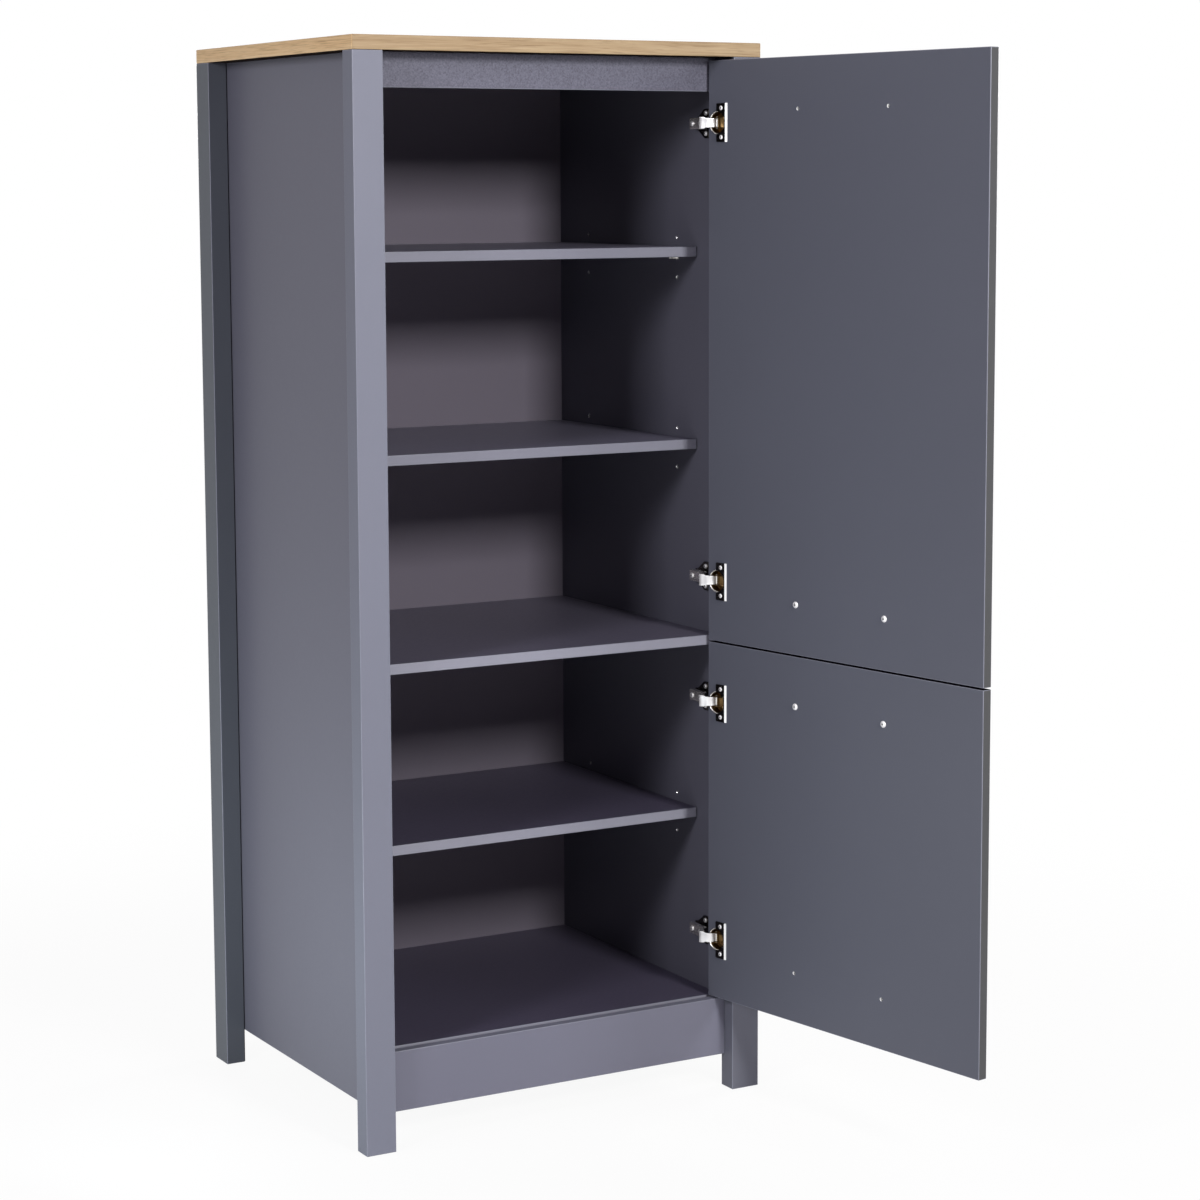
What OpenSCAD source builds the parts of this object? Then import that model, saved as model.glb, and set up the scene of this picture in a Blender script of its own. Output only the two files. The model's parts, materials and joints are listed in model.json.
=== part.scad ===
/* [Cabinet] */
// Overall width across the worktop and legs
cab_w = 700; // [560:5:900]
// Overall depth from the front of the legs to the wall
cab_d = 590; // [520:5:680]
// Overall height from the floor to the top of the worktop
cab_h = 1670; // [1620:5:1800]
// Thickness of the worktop
top_t = 22; // [18:1:32]

/* [Legs] */
// Width of each leg as seen from the front, and of the rear legs as seen from the side
leg_w = 49; // [44:1:60]
// Depth of the front legs
leg_d = 33; // [28:1:40]

/* [Boards] */
// Thickness of the side, bottom, shelf and rail boards
board_t = 16; // [15:0.5:19]
// Thickness of the back panel
back_t = 6; // [3:0.5:8]
// Depth of the groove that holds each side of the back panel
groove_deep = 6; // [4:0.5:8]
// Distance from the wall to the front face of the back panel
back_set = 35.5; // [30:0.5:45]
// Width of the small chamfer on every board edge
arris = 0.8; // [0.4:0.1:1.5]

/* [Rails] */
// Clear height under the rails and side panels
floor_gap = 54; // [40:1:80]
// Height of the front bottom rail
bottom_rail_h = 94; // [70:1:120]
// Height of the rear bottom rail
rear_rail_h = 76; // [50:1:78]
// Height of the two top rails
top_rail_h = 52; // [50:1:70]
// Distance from the front of the legs to the front of the bottom rail and the doors
rail_set = 23.5; // [18:0.5:28]
// Distance from the back of a closed door to the shelf, bottom panel and top rail fronts
door_air = 4.5; // [4:0.5:10]
// Height of the bottom panel's top above the top of the front bottom rail
panel_step = 2; // [0:0.5:3]

/* [Shelves] */
// Height of the underside of the fixed shelf
fixed_shelf_z = 723; // [680:1:760]
// Height of the underside of the adjustable shelf below the fixed shelf
low_shelf_z = 429; // [380:1:480]
// Height of the underside of the adjustable shelf above the fixed shelf
middle_shelf_z = 1031; // [980:1:1080]
// Height of the underside of the top adjustable shelf
high_shelf_z = 1338; // [1280:1:1400]
// Distance from the front of the legs to the front of the adjustable shelves
shelf_set = 107.5; // [100:0.5:140]
// Gap at each end of an adjustable shelf
shelf_side_gap = 1.5; // [1:0.5:3]
// Gap between an adjustable shelf and the back panel
shelf_back_gap = 2; // [1:0.5:6]
// Diameter of the shelf pins
pin_d = 5; // [4:0.5:6]
// Length of a shelf pin under its shelf
pin_out = 15; // [10:1:18]
// Length of a shelf pin in the side panel
pin_in = 9; // [6:0.5:11]
// Distance from one shelf pin hole to the next
pin_pitch = 32; // [25:1:40]
// Distance from the front edge of an adjustable shelf to its front pins
pin_front = 62.5; // [40:0.5:90]
// Distance from the back panel to the rear pins
pin_rear = 96.5; // [60:0.5:120]

/* [Doors] */
// Thickness of the doors
door_t = 16; // [15.5:0.5:19]
// Gap between a closed door and the leg at each side
door_side_gap = 3; // [2.8:0.1:5]
// Gap between the lower door and the bottom rail
door_bottom_gap = 3.5; // [2:0.5:6]
// Gap between the upper door and the worktop
door_top_gap = 4.5; // [3:0.5:8]
// Gap between the two doors
door_gap = 3; // [2:0.5:5]
// Angle of the doors as modelled, from closed
open_angle = 99.5; // [80:0.5:99.5]

/* [Handles] */
// Distance between the two screws of a handle
handle_pitch = 192; // [96:32:320]
// Distance from the nearest door end to the handle screws
handle_inset = 78; // [50:1:110]
// Distance from the door face to the middle of the handle bar
handle_reach = 28; // [22:1:40]
// Diameter of the handle bar
handle_d = 12; // [11:0.5:16]
// Length of the handle bar past each post
handle_over = 14; // [8:1:30]
// Diameter of the handle posts
post_d = 8; // [7:0.5:10]
// Depth of the unused handle screw holes at the other end of each door
pilot_deep = 9; // [4:0.5:12]

/* [Hinges] */
// Distance from a door's end to the middle of its hinge
hinge_inset = 96; // [80:1:130]
// Diameter of the hinge cup
cup_d = 35; // [34:0.5:36]
// Depth of the hinge cup
cup_depth = 13; // [12.8:0.1:13.2]
// Distance from the door's hinge edge to the cup
cup_edge = 3; // [3:0.1:3.5]
// Wall of the hinge cup
cup_wall = 1; // [0.8:0.1:1.1]
// Thickness of the flange on the door
flange_t = 0.9; // [0.6:0.1:1.2]
// Height of the flange along the door edge
flange_h = 61; // [58:0.5:66]
// Width of the flange across the door
flange_w = 24; // [22:0.5:26]
// Distance between the two flange screws
flange_pitch = 45; // [43:0.5:48]
// Distance from the middle of the cup to the line of the flange screws
flange_shift = 9.5; // [8:0.5:11]
// Distance from the door's hinge edge to the hinge pin
axis_edge = 9; // [8.8:0.1:9.4]
// Distance from the door's inner face to the hinge pin
axis_depth = 9.3; // [9.1:0.1:9.5]
// Diameter of the hinge pin
hinge_pin_d = 2.4; // [2.2:0.1:2.6]
// Length of the hinge pin
hinge_pin_l = 19; // [17:0.5:20]
// Thickness of the arm's sheet metal
arm_t = 1.8; // [1.4:0.1:2]
// Width of the arm
arm_w = 16; // [15:0.5:18]
// Width of the neck that reaches into the cup
neck_w = 12; // [10:0.5:12]
// Distance from the back of a closed door to the mounting plate screws
plate_back = 37; // [35:0.5:40]
// Thickness of the mounting plate's wings
plate_t = 3.5; // [3:0.5:4]
// Height of the mounting plate's wings
plate_h = 44; // [42:1:48]
// Distance between the two mounting plate screws
plate_pitch = 32; // [30:1:34]

/* [Fasteners] */
// Diameter of the wooden dowels
dowel_d = 8; // [6:0.5:8]
// Length of the wooden dowels
dowel_l = 30; // [25:1:35]
// Diameter of the cam locks
cam_d = 15; // [12:0.5:16]
// Depth of the cam locks
cam_h = 12.5; // [12:0.1:13]
// Distance from a board's end to the middle of its cam lock
cam_reach = 24; // [22:1:34]
// Diameter of the cam bolts
bolt_d = 5; // [4:0.5:6]
// Length of a cam bolt in the side panel
bolt_in = 10; // [8:0.5:11]
// Width of the steel angle brackets
bracket_w = 18; // [14:1:24]
// Length of each leg of the angle brackets
bracket_l = 22; // [20:1:28]
// Thickness of the angle brackets
bracket_t = 2; // [1.5:0.5:2.5]
// Distance between the two wall fixing holes
wall_pitch = 400; // [200:10:460]
// Diameter of the wall fixing holes
wall_hole_d = 6; // [5:0.5:8]

/* [Hidden] */

// Fits
fit = 0.1;        // radial clearance of a fastener in its hole
tight = 0.02;     // radial clearance of the hinge pin in its cup
running = 0.05;   // radial clearance of the hinge pin in the arm
groove_fit = 0.2; // clearance of the back panel in its grooves
cut = 1;          // how far a cutter runs past the face it opens

// Screws: diameter, length under the head, head diameter and head height
plate_screw = [4, 13, 7.6, 2.4];
cup_screw = [3.5, 12, 7, 1.8];
arm_screw = [5, 8, 8.5, 2.2];
leg_screw = [4, 34, 8, 2.5];
back_screw = [3, 20, 7, 1.8];
bracket_screw = [3.5, 13, 7, 2];
handle_screw = [4, 24, 9, 2.6];

// Carcass
inner_left = leg_w;
inner_right = cab_w - leg_w;
inner_w = inner_right - inner_left;
side_x = leg_w - board_t;
under_top = cab_h - top_t;
back_y = cab_d - back_set;
rear_rail_y = back_y + back_t;
panel_end_y = rear_rail_y + board_t;
door_in_y = rail_set + door_t;
front_y = door_in_y + door_air;
rail_top = floor_gap + bottom_rail_h;
bottom_z = rail_top + panel_step - board_t;
back_drop = 30;
back_z = bottom_z - back_drop;
back_side = groove_deep - groove_fit;

// Doors and their hinges
door_left = inner_left + door_side_gap;
door_right = inner_right - door_side_gap;
door_w = door_right - door_left;
split_z = fixed_shelf_z + board_t / 2;
lower_z = [rail_top + door_bottom_gap, split_z - door_gap / 2];
upper_z = [split_z + door_gap / 2, under_top - door_top_gap];
axis_x = door_right - axis_edge;
axis_y = door_in_y - axis_depth;
cup_x = door_right - cup_edge - cup_d / 2;
upper_hinges = [upper_z[0] + hinge_inset, upper_z[1] - hinge_inset];
lower_hinges = [lower_z[0] + hinge_inset, lower_z[1] - hinge_inset];
hinge_heights = concat(lower_hinges, upper_hinges);
pocket_w = neck_w + 1.2;
eye_r = hinge_pin_d / 2 + 1.1;
ring_over = 1;
upper_handle_z = upper_z[0] + handle_inset;
lower_handle_z = lower_z[1] - handle_inset;
post_l = handle_reach - handle_d / 8;

// Hinge arm, seen from above: heights are from the side panel
arm_low = 17;
arm_high = 29;
arm_deep = 7;
arm_l = 61;
nose_gap = 3.5;
nose_l = 12;
crank_l = 9;
neck_shift = 0.7;
arm_screw_shift = [-5, 20];
boss_w = 11;
boss_end = 2.5;
wing_y = 7;
plate_y = door_in_y + plate_back;
nose_y = door_in_y + nose_gap;
crank_y = [nose_y + nose_l, nose_y + nose_l + crank_l];
arm_end_y = nose_y + arm_l;
neck_y = axis_y - neck_shift;
arm_screw_y = [plate_y + arm_screw_shift[0], plate_y + arm_screw_shift[1]];

// Shelves
pin_rows = [shelf_set + pin_front, back_y - pin_rear];
shelf_heights = [low_shelf_z, middle_shelf_z, high_shelf_z];
pin_collar = [9, 0.8];

// Cams and dowels along a board that runs from the front to the back panel
board_cam_from = 60;
board_dowel_from = 92;
board_cams = [front_y + board_cam_from, back_y - board_cam_from];
board_dowels = [front_y + board_dowel_from, back_y - board_dowel_from];
cam_rise = board_t / 2;
rail_cam_drop = 15;
rail_dowel_drop = 37;
leg_dowel_in = 12;
leg_dowel_from = 60;
leg_dowel_span = under_top - floor_gap - 2 * leg_dowel_from;
leg_dowel_heights = [for (i = [0 : 3]) floor_gap + leg_dowel_from + i * leg_dowel_span / 3];
leg_screw_heights = [for (i = [1 : 3]) rail_top + i * (under_top - rail_top) / 4];
leg_screw_y = (rear_rail_y + panel_end_y) / 2;
back_screw_x = [for (i = [1 : 3]) inner_left + i * inner_w / 4];
bracket_from = 90;
bracket_x = [for (i = [0 : 2]) inner_left + bracket_from + i * (inner_w / 2 - bracket_from)];
bracket_side_from = 110;
bracket_side_y = back_y - bracket_side_from;
wall_hole_z = under_top - top_rail_h / 2;

paint = [0.33, 0.35, 0.40];
paint_light = [0.42, 0.44, 0.50];
oak = [0.80, 0.68, 0.50];
beech = [0.82, 0.66, 0.45];
steel = [0.78, 0.78, 0.80];
zinc = [0.62, 0.62, 0.64];
dark_steel = [0.30, 0.30, 0.32];

// The origin is the middle of the front left leg's foot
module placed() {
    translate([-leg_w / 2, -leg_d / 2, 0]) children();
}

// Turns what is drawn on a closed door to the modelled angle
module opened() {
    translate([axis_x, axis_y, 0]) rotate([0, 0, open_angle]) translate([-axis_x, -axis_y, 0])
        children();
}

// Repeats what is drawn at the right side panel on the left one too
module both_sides() {
    children();
    translate([cab_w, 0, 0]) mirror([1, 0, 0]) children();
}

module cut_corners(a, b, c) {
    polygon([[c, 0], [a - c, 0], [a, c], [a, b - c], [a - c, b], [c, b], [0, b - c], [0, c]]);
}

// A board with a small chamfer on all its edges
module board(at, size) {
    translate(at) intersection() {
        linear_extrude(size.z) cut_corners(size.x, size.y, arris);
        translate([0, size.y, 0]) rotate([90, 0, 0]) linear_extrude(size.y)
            cut_corners(size.x, size.z, arris);
        rotate([90, 0, 90]) linear_extrude(size.x) cut_corners(size.y, size.z, arris);
    }
}

// Cylinders that start at a point and run along an axis
module along_x(at, d, l) {
    translate(at) rotate([0, 90, 0]) cylinder(d = d, h = l, $fn = 32);
}

module along_y(at, d, l) {
    translate(at) rotate([-90, 0, 0]) cylinder(d = d, h = l, $fn = 32);
}

module along_z(at, d, l) {
    translate(at) cylinder(d = d, h = l, $fn = 32);
}

// A screw whose head rests on z = 0, with its shank below
module screw(size) {
    recess = size[2] * 0.42;
    difference() {
        union() {
            translate([0, 0, -size[1]]) cylinder(d = size[0], h = size[1], $fn = 24);
            cylinder(d = size[2], h = size[3], $fn = 32);
        }
        for (a = [0, 90]) rotate([0, 0, a]) translate([-recess / 2, -recess / 8, size[3] * 0.45])
            cube([recess, recess / 4, size[3]]);
    }
}

// The hole that a screw's shank needs, from the face that its head rests on
module screw_hole(size) {
    translate([0, 0, -size[1] - fit]) cylinder(d = size[0] + 2 * fit, h = size[1] + fit + cut, $fn = 24);
}

module at_left_face(at) {
    translate(at) rotate([0, -90, 0]) children();
}

module at_front_face(at) {
    translate(at) rotate([90, 0, 0]) children();
}

module at_rear_face(at) {
    translate(at) rotate([-90, 0, 0]) children();
}

module at_under_face(at) {
    translate(at) rotate([180, 0, 0]) children();
}

// Places of the fasteners
module each_plate_screw() {
    for (z = hinge_heights, side = [-1, 1])
        at_left_face([inner_right - plate_t, plate_y, z + side * plate_pitch / 2]) children();
}

module each_leg_screw() {
    for (z = leg_screw_heights) at_left_face([inner_right, leg_screw_y, z]) children();
}

module each_back_screw() {
    for (x = back_screw_x, z = [bottom_z, fixed_shelf_z])
        at_rear_face([x, back_y + back_t, z + board_t / 2]) children();
}

module each_cup(heights) {
    for (z = heights) translate([cup_x, door_in_y, z]) rotate([90, 0, 0]) children();
}

module each_cup_screw(heights) {
    for (z = heights, side = [-1, 1])
        at_rear_face([cup_x - flange_shift, door_in_y + flange_t, z + side * flange_pitch / 2])
            children();
}

module each_handle_screw(z) {
    for (side = [-1, 1])
        at_rear_face([(door_left + door_right + side * handle_pitch) / 2, door_in_y, z]) children();
}

// Holes for the end fittings of a board, on the right; the cam lies at rise from the bolt's side
module board_end_holes(z) {
    for (y = board_cams) {
        along_x([inner_right - cam_reach, y, z + cam_rise], cam_d / 2 + 1, cam_reach + cut);
        along_z([inner_right - cam_reach, y, z - cut], cam_d + 2 * fit, cam_h + cut);
    }
    for (y = board_dowels)
        along_x([inner_right - dowel_l / 2 - fit, y, z + cam_rise], dowel_d + 2 * fit, dowel_l);
}

// Holes for the end fittings of an upright rail, on the right, with its cam in its rear face
module rail_end_holes(y, top) {
    along_x([inner_right - cam_reach, y + cam_rise, top - rail_cam_drop], cam_d / 2 + 1, cam_reach + cut);
    along_y([inner_right - cam_reach, y + board_t - cam_h, top - rail_cam_drop], cam_d + 2 * fit,
        cam_h + cut);
    along_x([inner_right - dowel_l / 2 - fit, y + cam_rise, top - rail_dowel_drop],
        dowel_d + 2 * fit, dowel_l);
}

// Where each board's fittings meet the right side panel: bolts and dowels
function board_points(z, ys) = [for (y = ys) [inner_right, y, z + cam_rise]];
function rail_point(y, z) = [inner_right, y + cam_rise, z];
bolt_points = concat(
    board_points(bottom_z, board_cams), board_points(fixed_shelf_z, board_cams),
    [rail_point(front_y, under_top - rail_cam_drop),
     rail_point(rear_rail_y, under_top - rail_cam_drop),
     rail_point(rear_rail_y, floor_gap + rear_rail_h - rail_cam_drop)]);
dowel_points = concat(
    board_points(bottom_z, board_dowels), board_points(fixed_shelf_z, board_dowels),
    [rail_point(front_y, under_top - rail_dowel_drop),
     rail_point(rear_rail_y, under_top - rail_dowel_drop),
     rail_point(rear_rail_y, floor_gap + rear_rail_h - rail_dowel_drop)]);

// Carcass boards
module worktop() {
    color(oak) placed() difference() {
        board([0, 0, under_top], [cab_w, cab_d, top_t]);
        each_worktop_bracket() bracket_holes(0);
    }
}

module front_leg() {
    difference() {
        board([inner_right, 0, 0], [leg_w, leg_d, under_top]);
        for (z = leg_dowel_heights)
            along_y([inner_right + board_t / 2, leg_d - leg_dowel_in - fit, z], dowel_d + 2 * fit,
                leg_dowel_in + fit + cut);
    }
}

module rear_leg() {
    difference() {
        board([cab_w - side_x, cab_d - leg_w, 0], [side_x, leg_w, under_top]);
        each_leg_screw() screw_hole(leg_screw);
    }
}

module side_panel() {
    difference() {
        board([inner_right, leg_d, floor_gap], [board_t, panel_end_y - leg_d, under_top - floor_gap]);
        translate([inner_right - cut, back_y - groove_fit, floor_gap - cut])
            cube([groove_deep + cut, back_t + 2 * groove_fit, under_top - floor_gap + 2 * cut]);
        for (z = leg_dowel_heights)
            along_y([inner_right + board_t / 2, leg_d - cut, z], dowel_d + 2 * fit,
                dowel_l - leg_dowel_in + fit + cut);
        for (z = shelf_heights, step = [-1, 0, 1], y = pin_rows)
            along_x([inner_right - cut, y, z - pin_d / 2 + step * pin_pitch], pin_d + 2 * fit,
                pin_in + fit + cut);
        for (p = bolt_points) along_x(p - [cut, 0, 0], bolt_d + 2 * fit, bolt_in + fit + cut);
        for (p = dowel_points)
            along_x(p - [cut, 0, 0], dowel_d + 2 * fit, dowel_l / 2 - 3 + fit + cut);
        each_plate_screw() screw_hole(plate_screw);
        each_leg_screw() screw_hole(leg_screw);
        each_side_bracket() bracket_holes(1);
    }
}

module leg_front_left() {
    color(paint) placed() translate([cab_w, 0, 0]) mirror([1, 0, 0]) front_leg();
}

module leg_front_right() {
    color(paint) placed() front_leg();
}

module leg_rear_left() {
    color(paint) placed() translate([cab_w, 0, 0]) mirror([1, 0, 0]) rear_leg();
}

module leg_rear_right() {
    color(paint) placed() rear_leg();
}

module side_panel_left() {
    color(paint) placed() translate([cab_w, 0, 0]) mirror([1, 0, 0]) side_panel();
}

module side_panel_right() {
    color(paint) placed() side_panel();
}

module bottom_panel() {
    color(paint) placed() difference() {
        board([inner_left, front_y, bottom_z], [inner_w, back_y - front_y, board_t]);
        both_sides() board_end_holes(bottom_z);
        each_back_screw() screw_hole(back_screw);
        each_rail_bracket() bracket_holes(0);
    }
}

module fixed_shelf() {
    color(paint_light) placed() difference() {
        board([inner_left, front_y, fixed_shelf_z], [inner_w, back_y - front_y, board_t]);
        both_sides() board_end_holes(fixed_shelf_z);
        each_back_screw() screw_hole(back_screw);
    }
}

module back_panel() {
    color(paint) placed() difference() {
        translate([inner_left - back_side, back_y, back_z])
            cube([inner_w + 2 * back_side, back_t, under_top - back_z]);
        each_back_screw() screw_hole(back_screw);
        each_wall_hole();
    }
}

module top_rail_front() {
    color(paint_light) placed() difference() {
        board([inner_left, front_y, under_top - top_rail_h], [inner_w, board_t, top_rail_h]);
        both_sides() rail_end_holes(front_y, under_top);
        each_top_bracket() bracket_holes(1);
    }
}

module top_rail_rear() {
    color(paint) placed() difference() {
        board([inner_left, rear_rail_y, under_top - top_rail_h], [inner_w, board_t, top_rail_h]);
        both_sides() rail_end_holes(rear_rail_y, under_top);
        each_wall_hole();
    }
}

module bottom_rail_front() {
    color(paint_light) placed() difference() {
        board([inner_left, rail_set, floor_gap], [inner_w, board_t, bottom_rail_h]);
        each_rail_bracket() bracket_holes(1);
    }
}

module bottom_rail_rear() {
    color(paint) placed() difference() {
        board([inner_left, rear_rail_y, floor_gap], [inner_w, board_t, rear_rail_h]);
        both_sides() rail_end_holes(rear_rail_y, floor_gap + rear_rail_h);
    }
}

// Wall fixing holes through the back panel and the rear top rail
module each_wall_hole() {
    for (side = [-1, 1])
        along_y([(cab_w + side * wall_pitch) / 2, back_y - cut, wall_hole_z], wall_hole_d,
            back_t + board_t + 2 * cut);
}

// Adjustable shelves
module loose_shelf(z) {
    color(paint_light) placed() board([inner_left + shelf_side_gap, shelf_set, z],
        [inner_w - 2 * shelf_side_gap, back_y - shelf_back_gap - shelf_set, board_t]);
}

module shelf_high() {
    loose_shelf(high_shelf_z);
}

module shelf_middle() {
    loose_shelf(middle_shelf_z);
}

module shelf_low() {
    loose_shelf(low_shelf_z);
}

// One pin: a peg in the panel, a collar on it and an arm under the shelf
module shelf_pin(at) {
    along_x(at, pin_d, pin_in);
    along_x(at - [pin_collar[1], 0, 0], pin_collar[0], pin_collar[1]);
    along_x(at - [pin_out, 0, 0], pin_d, pin_out);
}

module shelf_pins() {
    color(steel) placed() both_sides()
        for (z = shelf_heights, y = pin_rows) shelf_pin([inner_right, y, z - pin_d / 2]);
}

// Wooden dowels between the front legs and side panels, and in the board ends
module dowels() {
    color(beech) placed() both_sides() {
        for (z = leg_dowel_heights)
            along_y([inner_right + board_t / 2, leg_d - leg_dowel_in, z], dowel_d, dowel_l);
        for (p = dowel_points)
            along_x(p - [dowel_l / 2, 0, 0], dowel_d, dowel_l - 3);
    }
}

// One cam lock, with a way in for the bolt's head from one side
module cam_lock() {
    difference() {
        cylinder(d = cam_d, h = cam_h, $fn = 48);
        translate([0, 0, cam_rise]) rotate([0, 90, 0]) cylinder(d = bolt_d + 3, h = cam_d, $fn = 32);
        translate([0, 0, -cut]) cylinder(d = 4, h = 2.5, $fn = 6);
    }
}

module cam_locks() {
    color(zinc) placed() both_sides() {
        for (z = [bottom_z, fixed_shelf_z], y = board_cams)
            translate([inner_right - cam_reach, y, z]) cam_lock();
        for (p = [[front_y, under_top], [rear_rail_y, under_top], [rear_rail_y, floor_gap + rear_rail_h]])
            translate([inner_right - cam_reach, p[0] + board_t, p[1] - rail_cam_drop])
                rotate([90, 0, 0]) cam_lock();
    }
}

// Cam bolts: a thread in the side panel, a shank and a head in the cam
module cam_bolts() {
    head_l = 3;
    color(steel) placed() both_sides() for (p = bolt_points) {
        along_x(p, bolt_d, bolt_in);
        along_x(p - [cam_reach - head_l, 0, 0], bolt_d - 1, cam_reach - head_l);
        along_x(p - [cam_reach - 1, 0, 0], bolt_d + 1.5, head_l);
    }
}

module leg_screws() {
    color(steel) placed() both_sides() each_leg_screw() screw(leg_screw);
}

module back_panel_screws() {
    color(steel) placed() each_back_screw() screw(back_screw);
}

// Angle brackets: drawn with one leg on z = 0 and the other on y = 0, below and behind the corner
module angle_bracket() {
    difference() {
        translate([-bracket_w / 2, 0, -bracket_l]) difference() {
            cube([bracket_w, bracket_l, bracket_l]);
            translate([-cut, bracket_t, -cut])
                cube([bracket_w + 2 * cut, bracket_l, bracket_l - bracket_t + cut]);
        }
        for (face = [0, 1]) bracket_holes(face);
    }
}

// The two screw places of a bracket, seen from the metal's inner faces: 0 is up, 1 is forward
module bracket_screw_place(face) {
    reach = bracket_l * 0.62;
    if (face == 0) at_under_face([0, reach, -bracket_t]) children();
    else translate([0, bracket_t, -reach]) rotate([-90, 0, 0]) children();
}

module bracket_holes(face) {
    bracket_screw_place(face) screw_hole(bracket_screw);
}

module each_rail_bracket() {
    for (x = bracket_x) translate([x, door_in_y, bottom_z]) children();
}

module each_top_bracket() {
    for (x = bracket_x) translate([x, front_y + board_t, under_top]) children();
}

module each_side_bracket() {
    translate([inner_right, bracket_side_y, under_top]) rotate([0, 0, 90]) children();
}

module each_worktop_bracket() {
    each_top_bracket() children();
    both_sides() each_side_bracket() children();
}

module angle_brackets() {
    color(steel) placed() {
        each_rail_bracket() angle_bracket();
        each_worktop_bracket() angle_bracket();
    }
}

module bracket_screws() {
    color(steel) placed() for (face = [0, 1]) {
        each_rail_bracket() bracket_screw_place(face) screw(bracket_screw);
        each_worktop_bracket() bracket_screw_place(face) screw(bracket_screw);
    }
}

// Hinge parts on the carcass
module hinge_plate() {
    boss_l = arm_end_y - boss_end - (crank_y[1] + boss_end);
    difference() {
        union() {
            translate([inner_right - plate_t, plate_y - wing_y, -plate_h / 2])
                cube([plate_t, 2 * wing_y, plate_h]);
            translate([inner_right - arm_low + arm_t + fit, crank_y[1] + boss_end, -boss_w / 2])
                cube([arm_low - arm_t - fit, boss_l, boss_w]);
        }
        for (side = [-1, 1])
            at_left_face([inner_right - plate_t, plate_y, side * plate_pitch / 2])
                screw_hole(plate_screw);
        for (y = arm_screw_y) at_left_face([inner_right - arm_low, y, 0]) screw_hole(arm_screw);
    }
}

module hinge_plates() {
    color(dark_steel) placed() for (z = hinge_heights) translate([0, 0, z]) hinge_plate();
}

module plate_screws() {
    color(steel) placed() each_plate_screw() screw(plate_screw);
}

// The arm's side view, as points from the side panel, for its outside or its inside
module arm_outline(inset) {
    polygon([
        [inner_right - arm_high + inset, nose_y - (inset > 0 ? cut : 0)],
        [inner_right - arm_high + inset, crank_y[0] - inset / 3],
        [inner_right - arm_low + inset, crank_y[1] - inset / 3],
        [inner_right - arm_low + inset, arm_end_y + (inset > 0 ? cut : 0)],
        [inner_right - arm_low + arm_deep + inset, arm_end_y + (inset > 0 ? cut : 0)],
        [inner_right - arm_low + arm_deep + inset, crank_y[1] - 2],
        [inner_right - arm_high + arm_deep + inset, crank_y[0] - 2],
        [inner_right - arm_high + arm_deep + inset, nose_y - (inset > 0 ? cut : 0)]
    ]);
}

// One arm: a channel on the mounting plate and a neck that reaches into the cup
module hinge_arm() {
    difference() {
        translate([0, 0, -arm_w / 2]) linear_extrude(arm_w) arm_outline(0);
        translate([0, 0, -arm_w / 2 + arm_t]) linear_extrude(arm_w - 2 * arm_t) arm_outline(arm_t);
        for (y = arm_screw_y) at_left_face([inner_right - arm_low, y, 0]) screw_hole(arm_screw);
    }
    translate([inner_right - arm_high, neck_y - arm_t / 2, -neck_w / 2])
        cube([arm_t, nose_y - neck_y + arm_t, neck_w]);
    difference() {
        union() {
            translate([inner_right - arm_high, neck_y - arm_t / 2, -neck_w / 2])
                cube([axis_x - (inner_right - arm_high), arm_t, neck_w]);
            along_z([axis_x, axis_y, -neck_w / 2], 2 * eye_r, neck_w);
        }
        along_z([axis_x, axis_y, -neck_w / 2 - cut], hinge_pin_d + 2 * running, neck_w + 2 * cut);
    }
}

module hinge_arms() {
    color(steel) placed() for (z = hinge_heights) translate([0, 0, z]) hinge_arm();
}

module arm_screws() {
    color(steel) placed() for (z = hinge_heights, y = arm_screw_y)
        at_left_face([inner_right - arm_low, y, z]) screw(arm_screw);
}

// Hinge parts on the doors: z runs into the door from its inner face, y runs up
module hinge_cup() {
    difference() {
        union() {
            cylinder(d = cup_d, h = cup_depth, $fn = 64);
            translate([0, 0, -flange_t]) cylinder(d = cup_d + 2 * ring_over, h = flange_t, $fn = 64);
            translate([-flange_w, -flange_h / 2, -flange_t]) linear_extrude(flange_t)
                cut_corners(flange_w, flange_h, 2.5);
        }
        intersection() {
            translate([0, 0, -cut - flange_t])
                cylinder(d = cup_d - 2 * cup_wall, h = cup_depth - cup_wall + cut + flange_t, $fn = 64);
            translate([-cup_d, -pocket_w / 2, -cut - flange_t])
                cube([2 * cup_d, pocket_w, cup_depth - cup_wall + cut + flange_t]);
        }
        translate([axis_x - cup_x, 0, axis_depth]) rotate([90, 0, 0])
            cylinder(d = hinge_pin_d + 2 * tight, h = hinge_pin_l + 2 * fit, center = true, $fn = 32);
        for (side = [-1, 1]) translate([-flange_shift, side * flange_pitch / 2, -flange_t - cut])
            cylinder(d = cup_screw[0] + 2 * fit, h = flange_t + 2 * cut, $fn = 24);
    }
}

module hinge_cups_upper() {
    color(steel) placed() opened() each_cup(upper_hinges) hinge_cup();
}

module hinge_cups_lower() {
    color(steel) placed() opened() each_cup(lower_hinges) hinge_cup();
}

module hinge_pins(heights) {
    for (z = heights) along_z([axis_x, axis_y, z - hinge_pin_l / 2], hinge_pin_d, hinge_pin_l);
}

module hinge_pins_upper() {
    color(steel) placed() opened() hinge_pins(upper_hinges);
}

module hinge_pins_lower() {
    color(steel) placed() opened() hinge_pins(lower_hinges);
}

module cup_screws_upper() {
    color(steel) placed() opened() each_cup_screw(upper_hinges) screw(cup_screw);
}

module cup_screws_lower() {
    color(steel) placed() opened() each_cup_screw(lower_hinges) screw(cup_screw);
}

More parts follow.
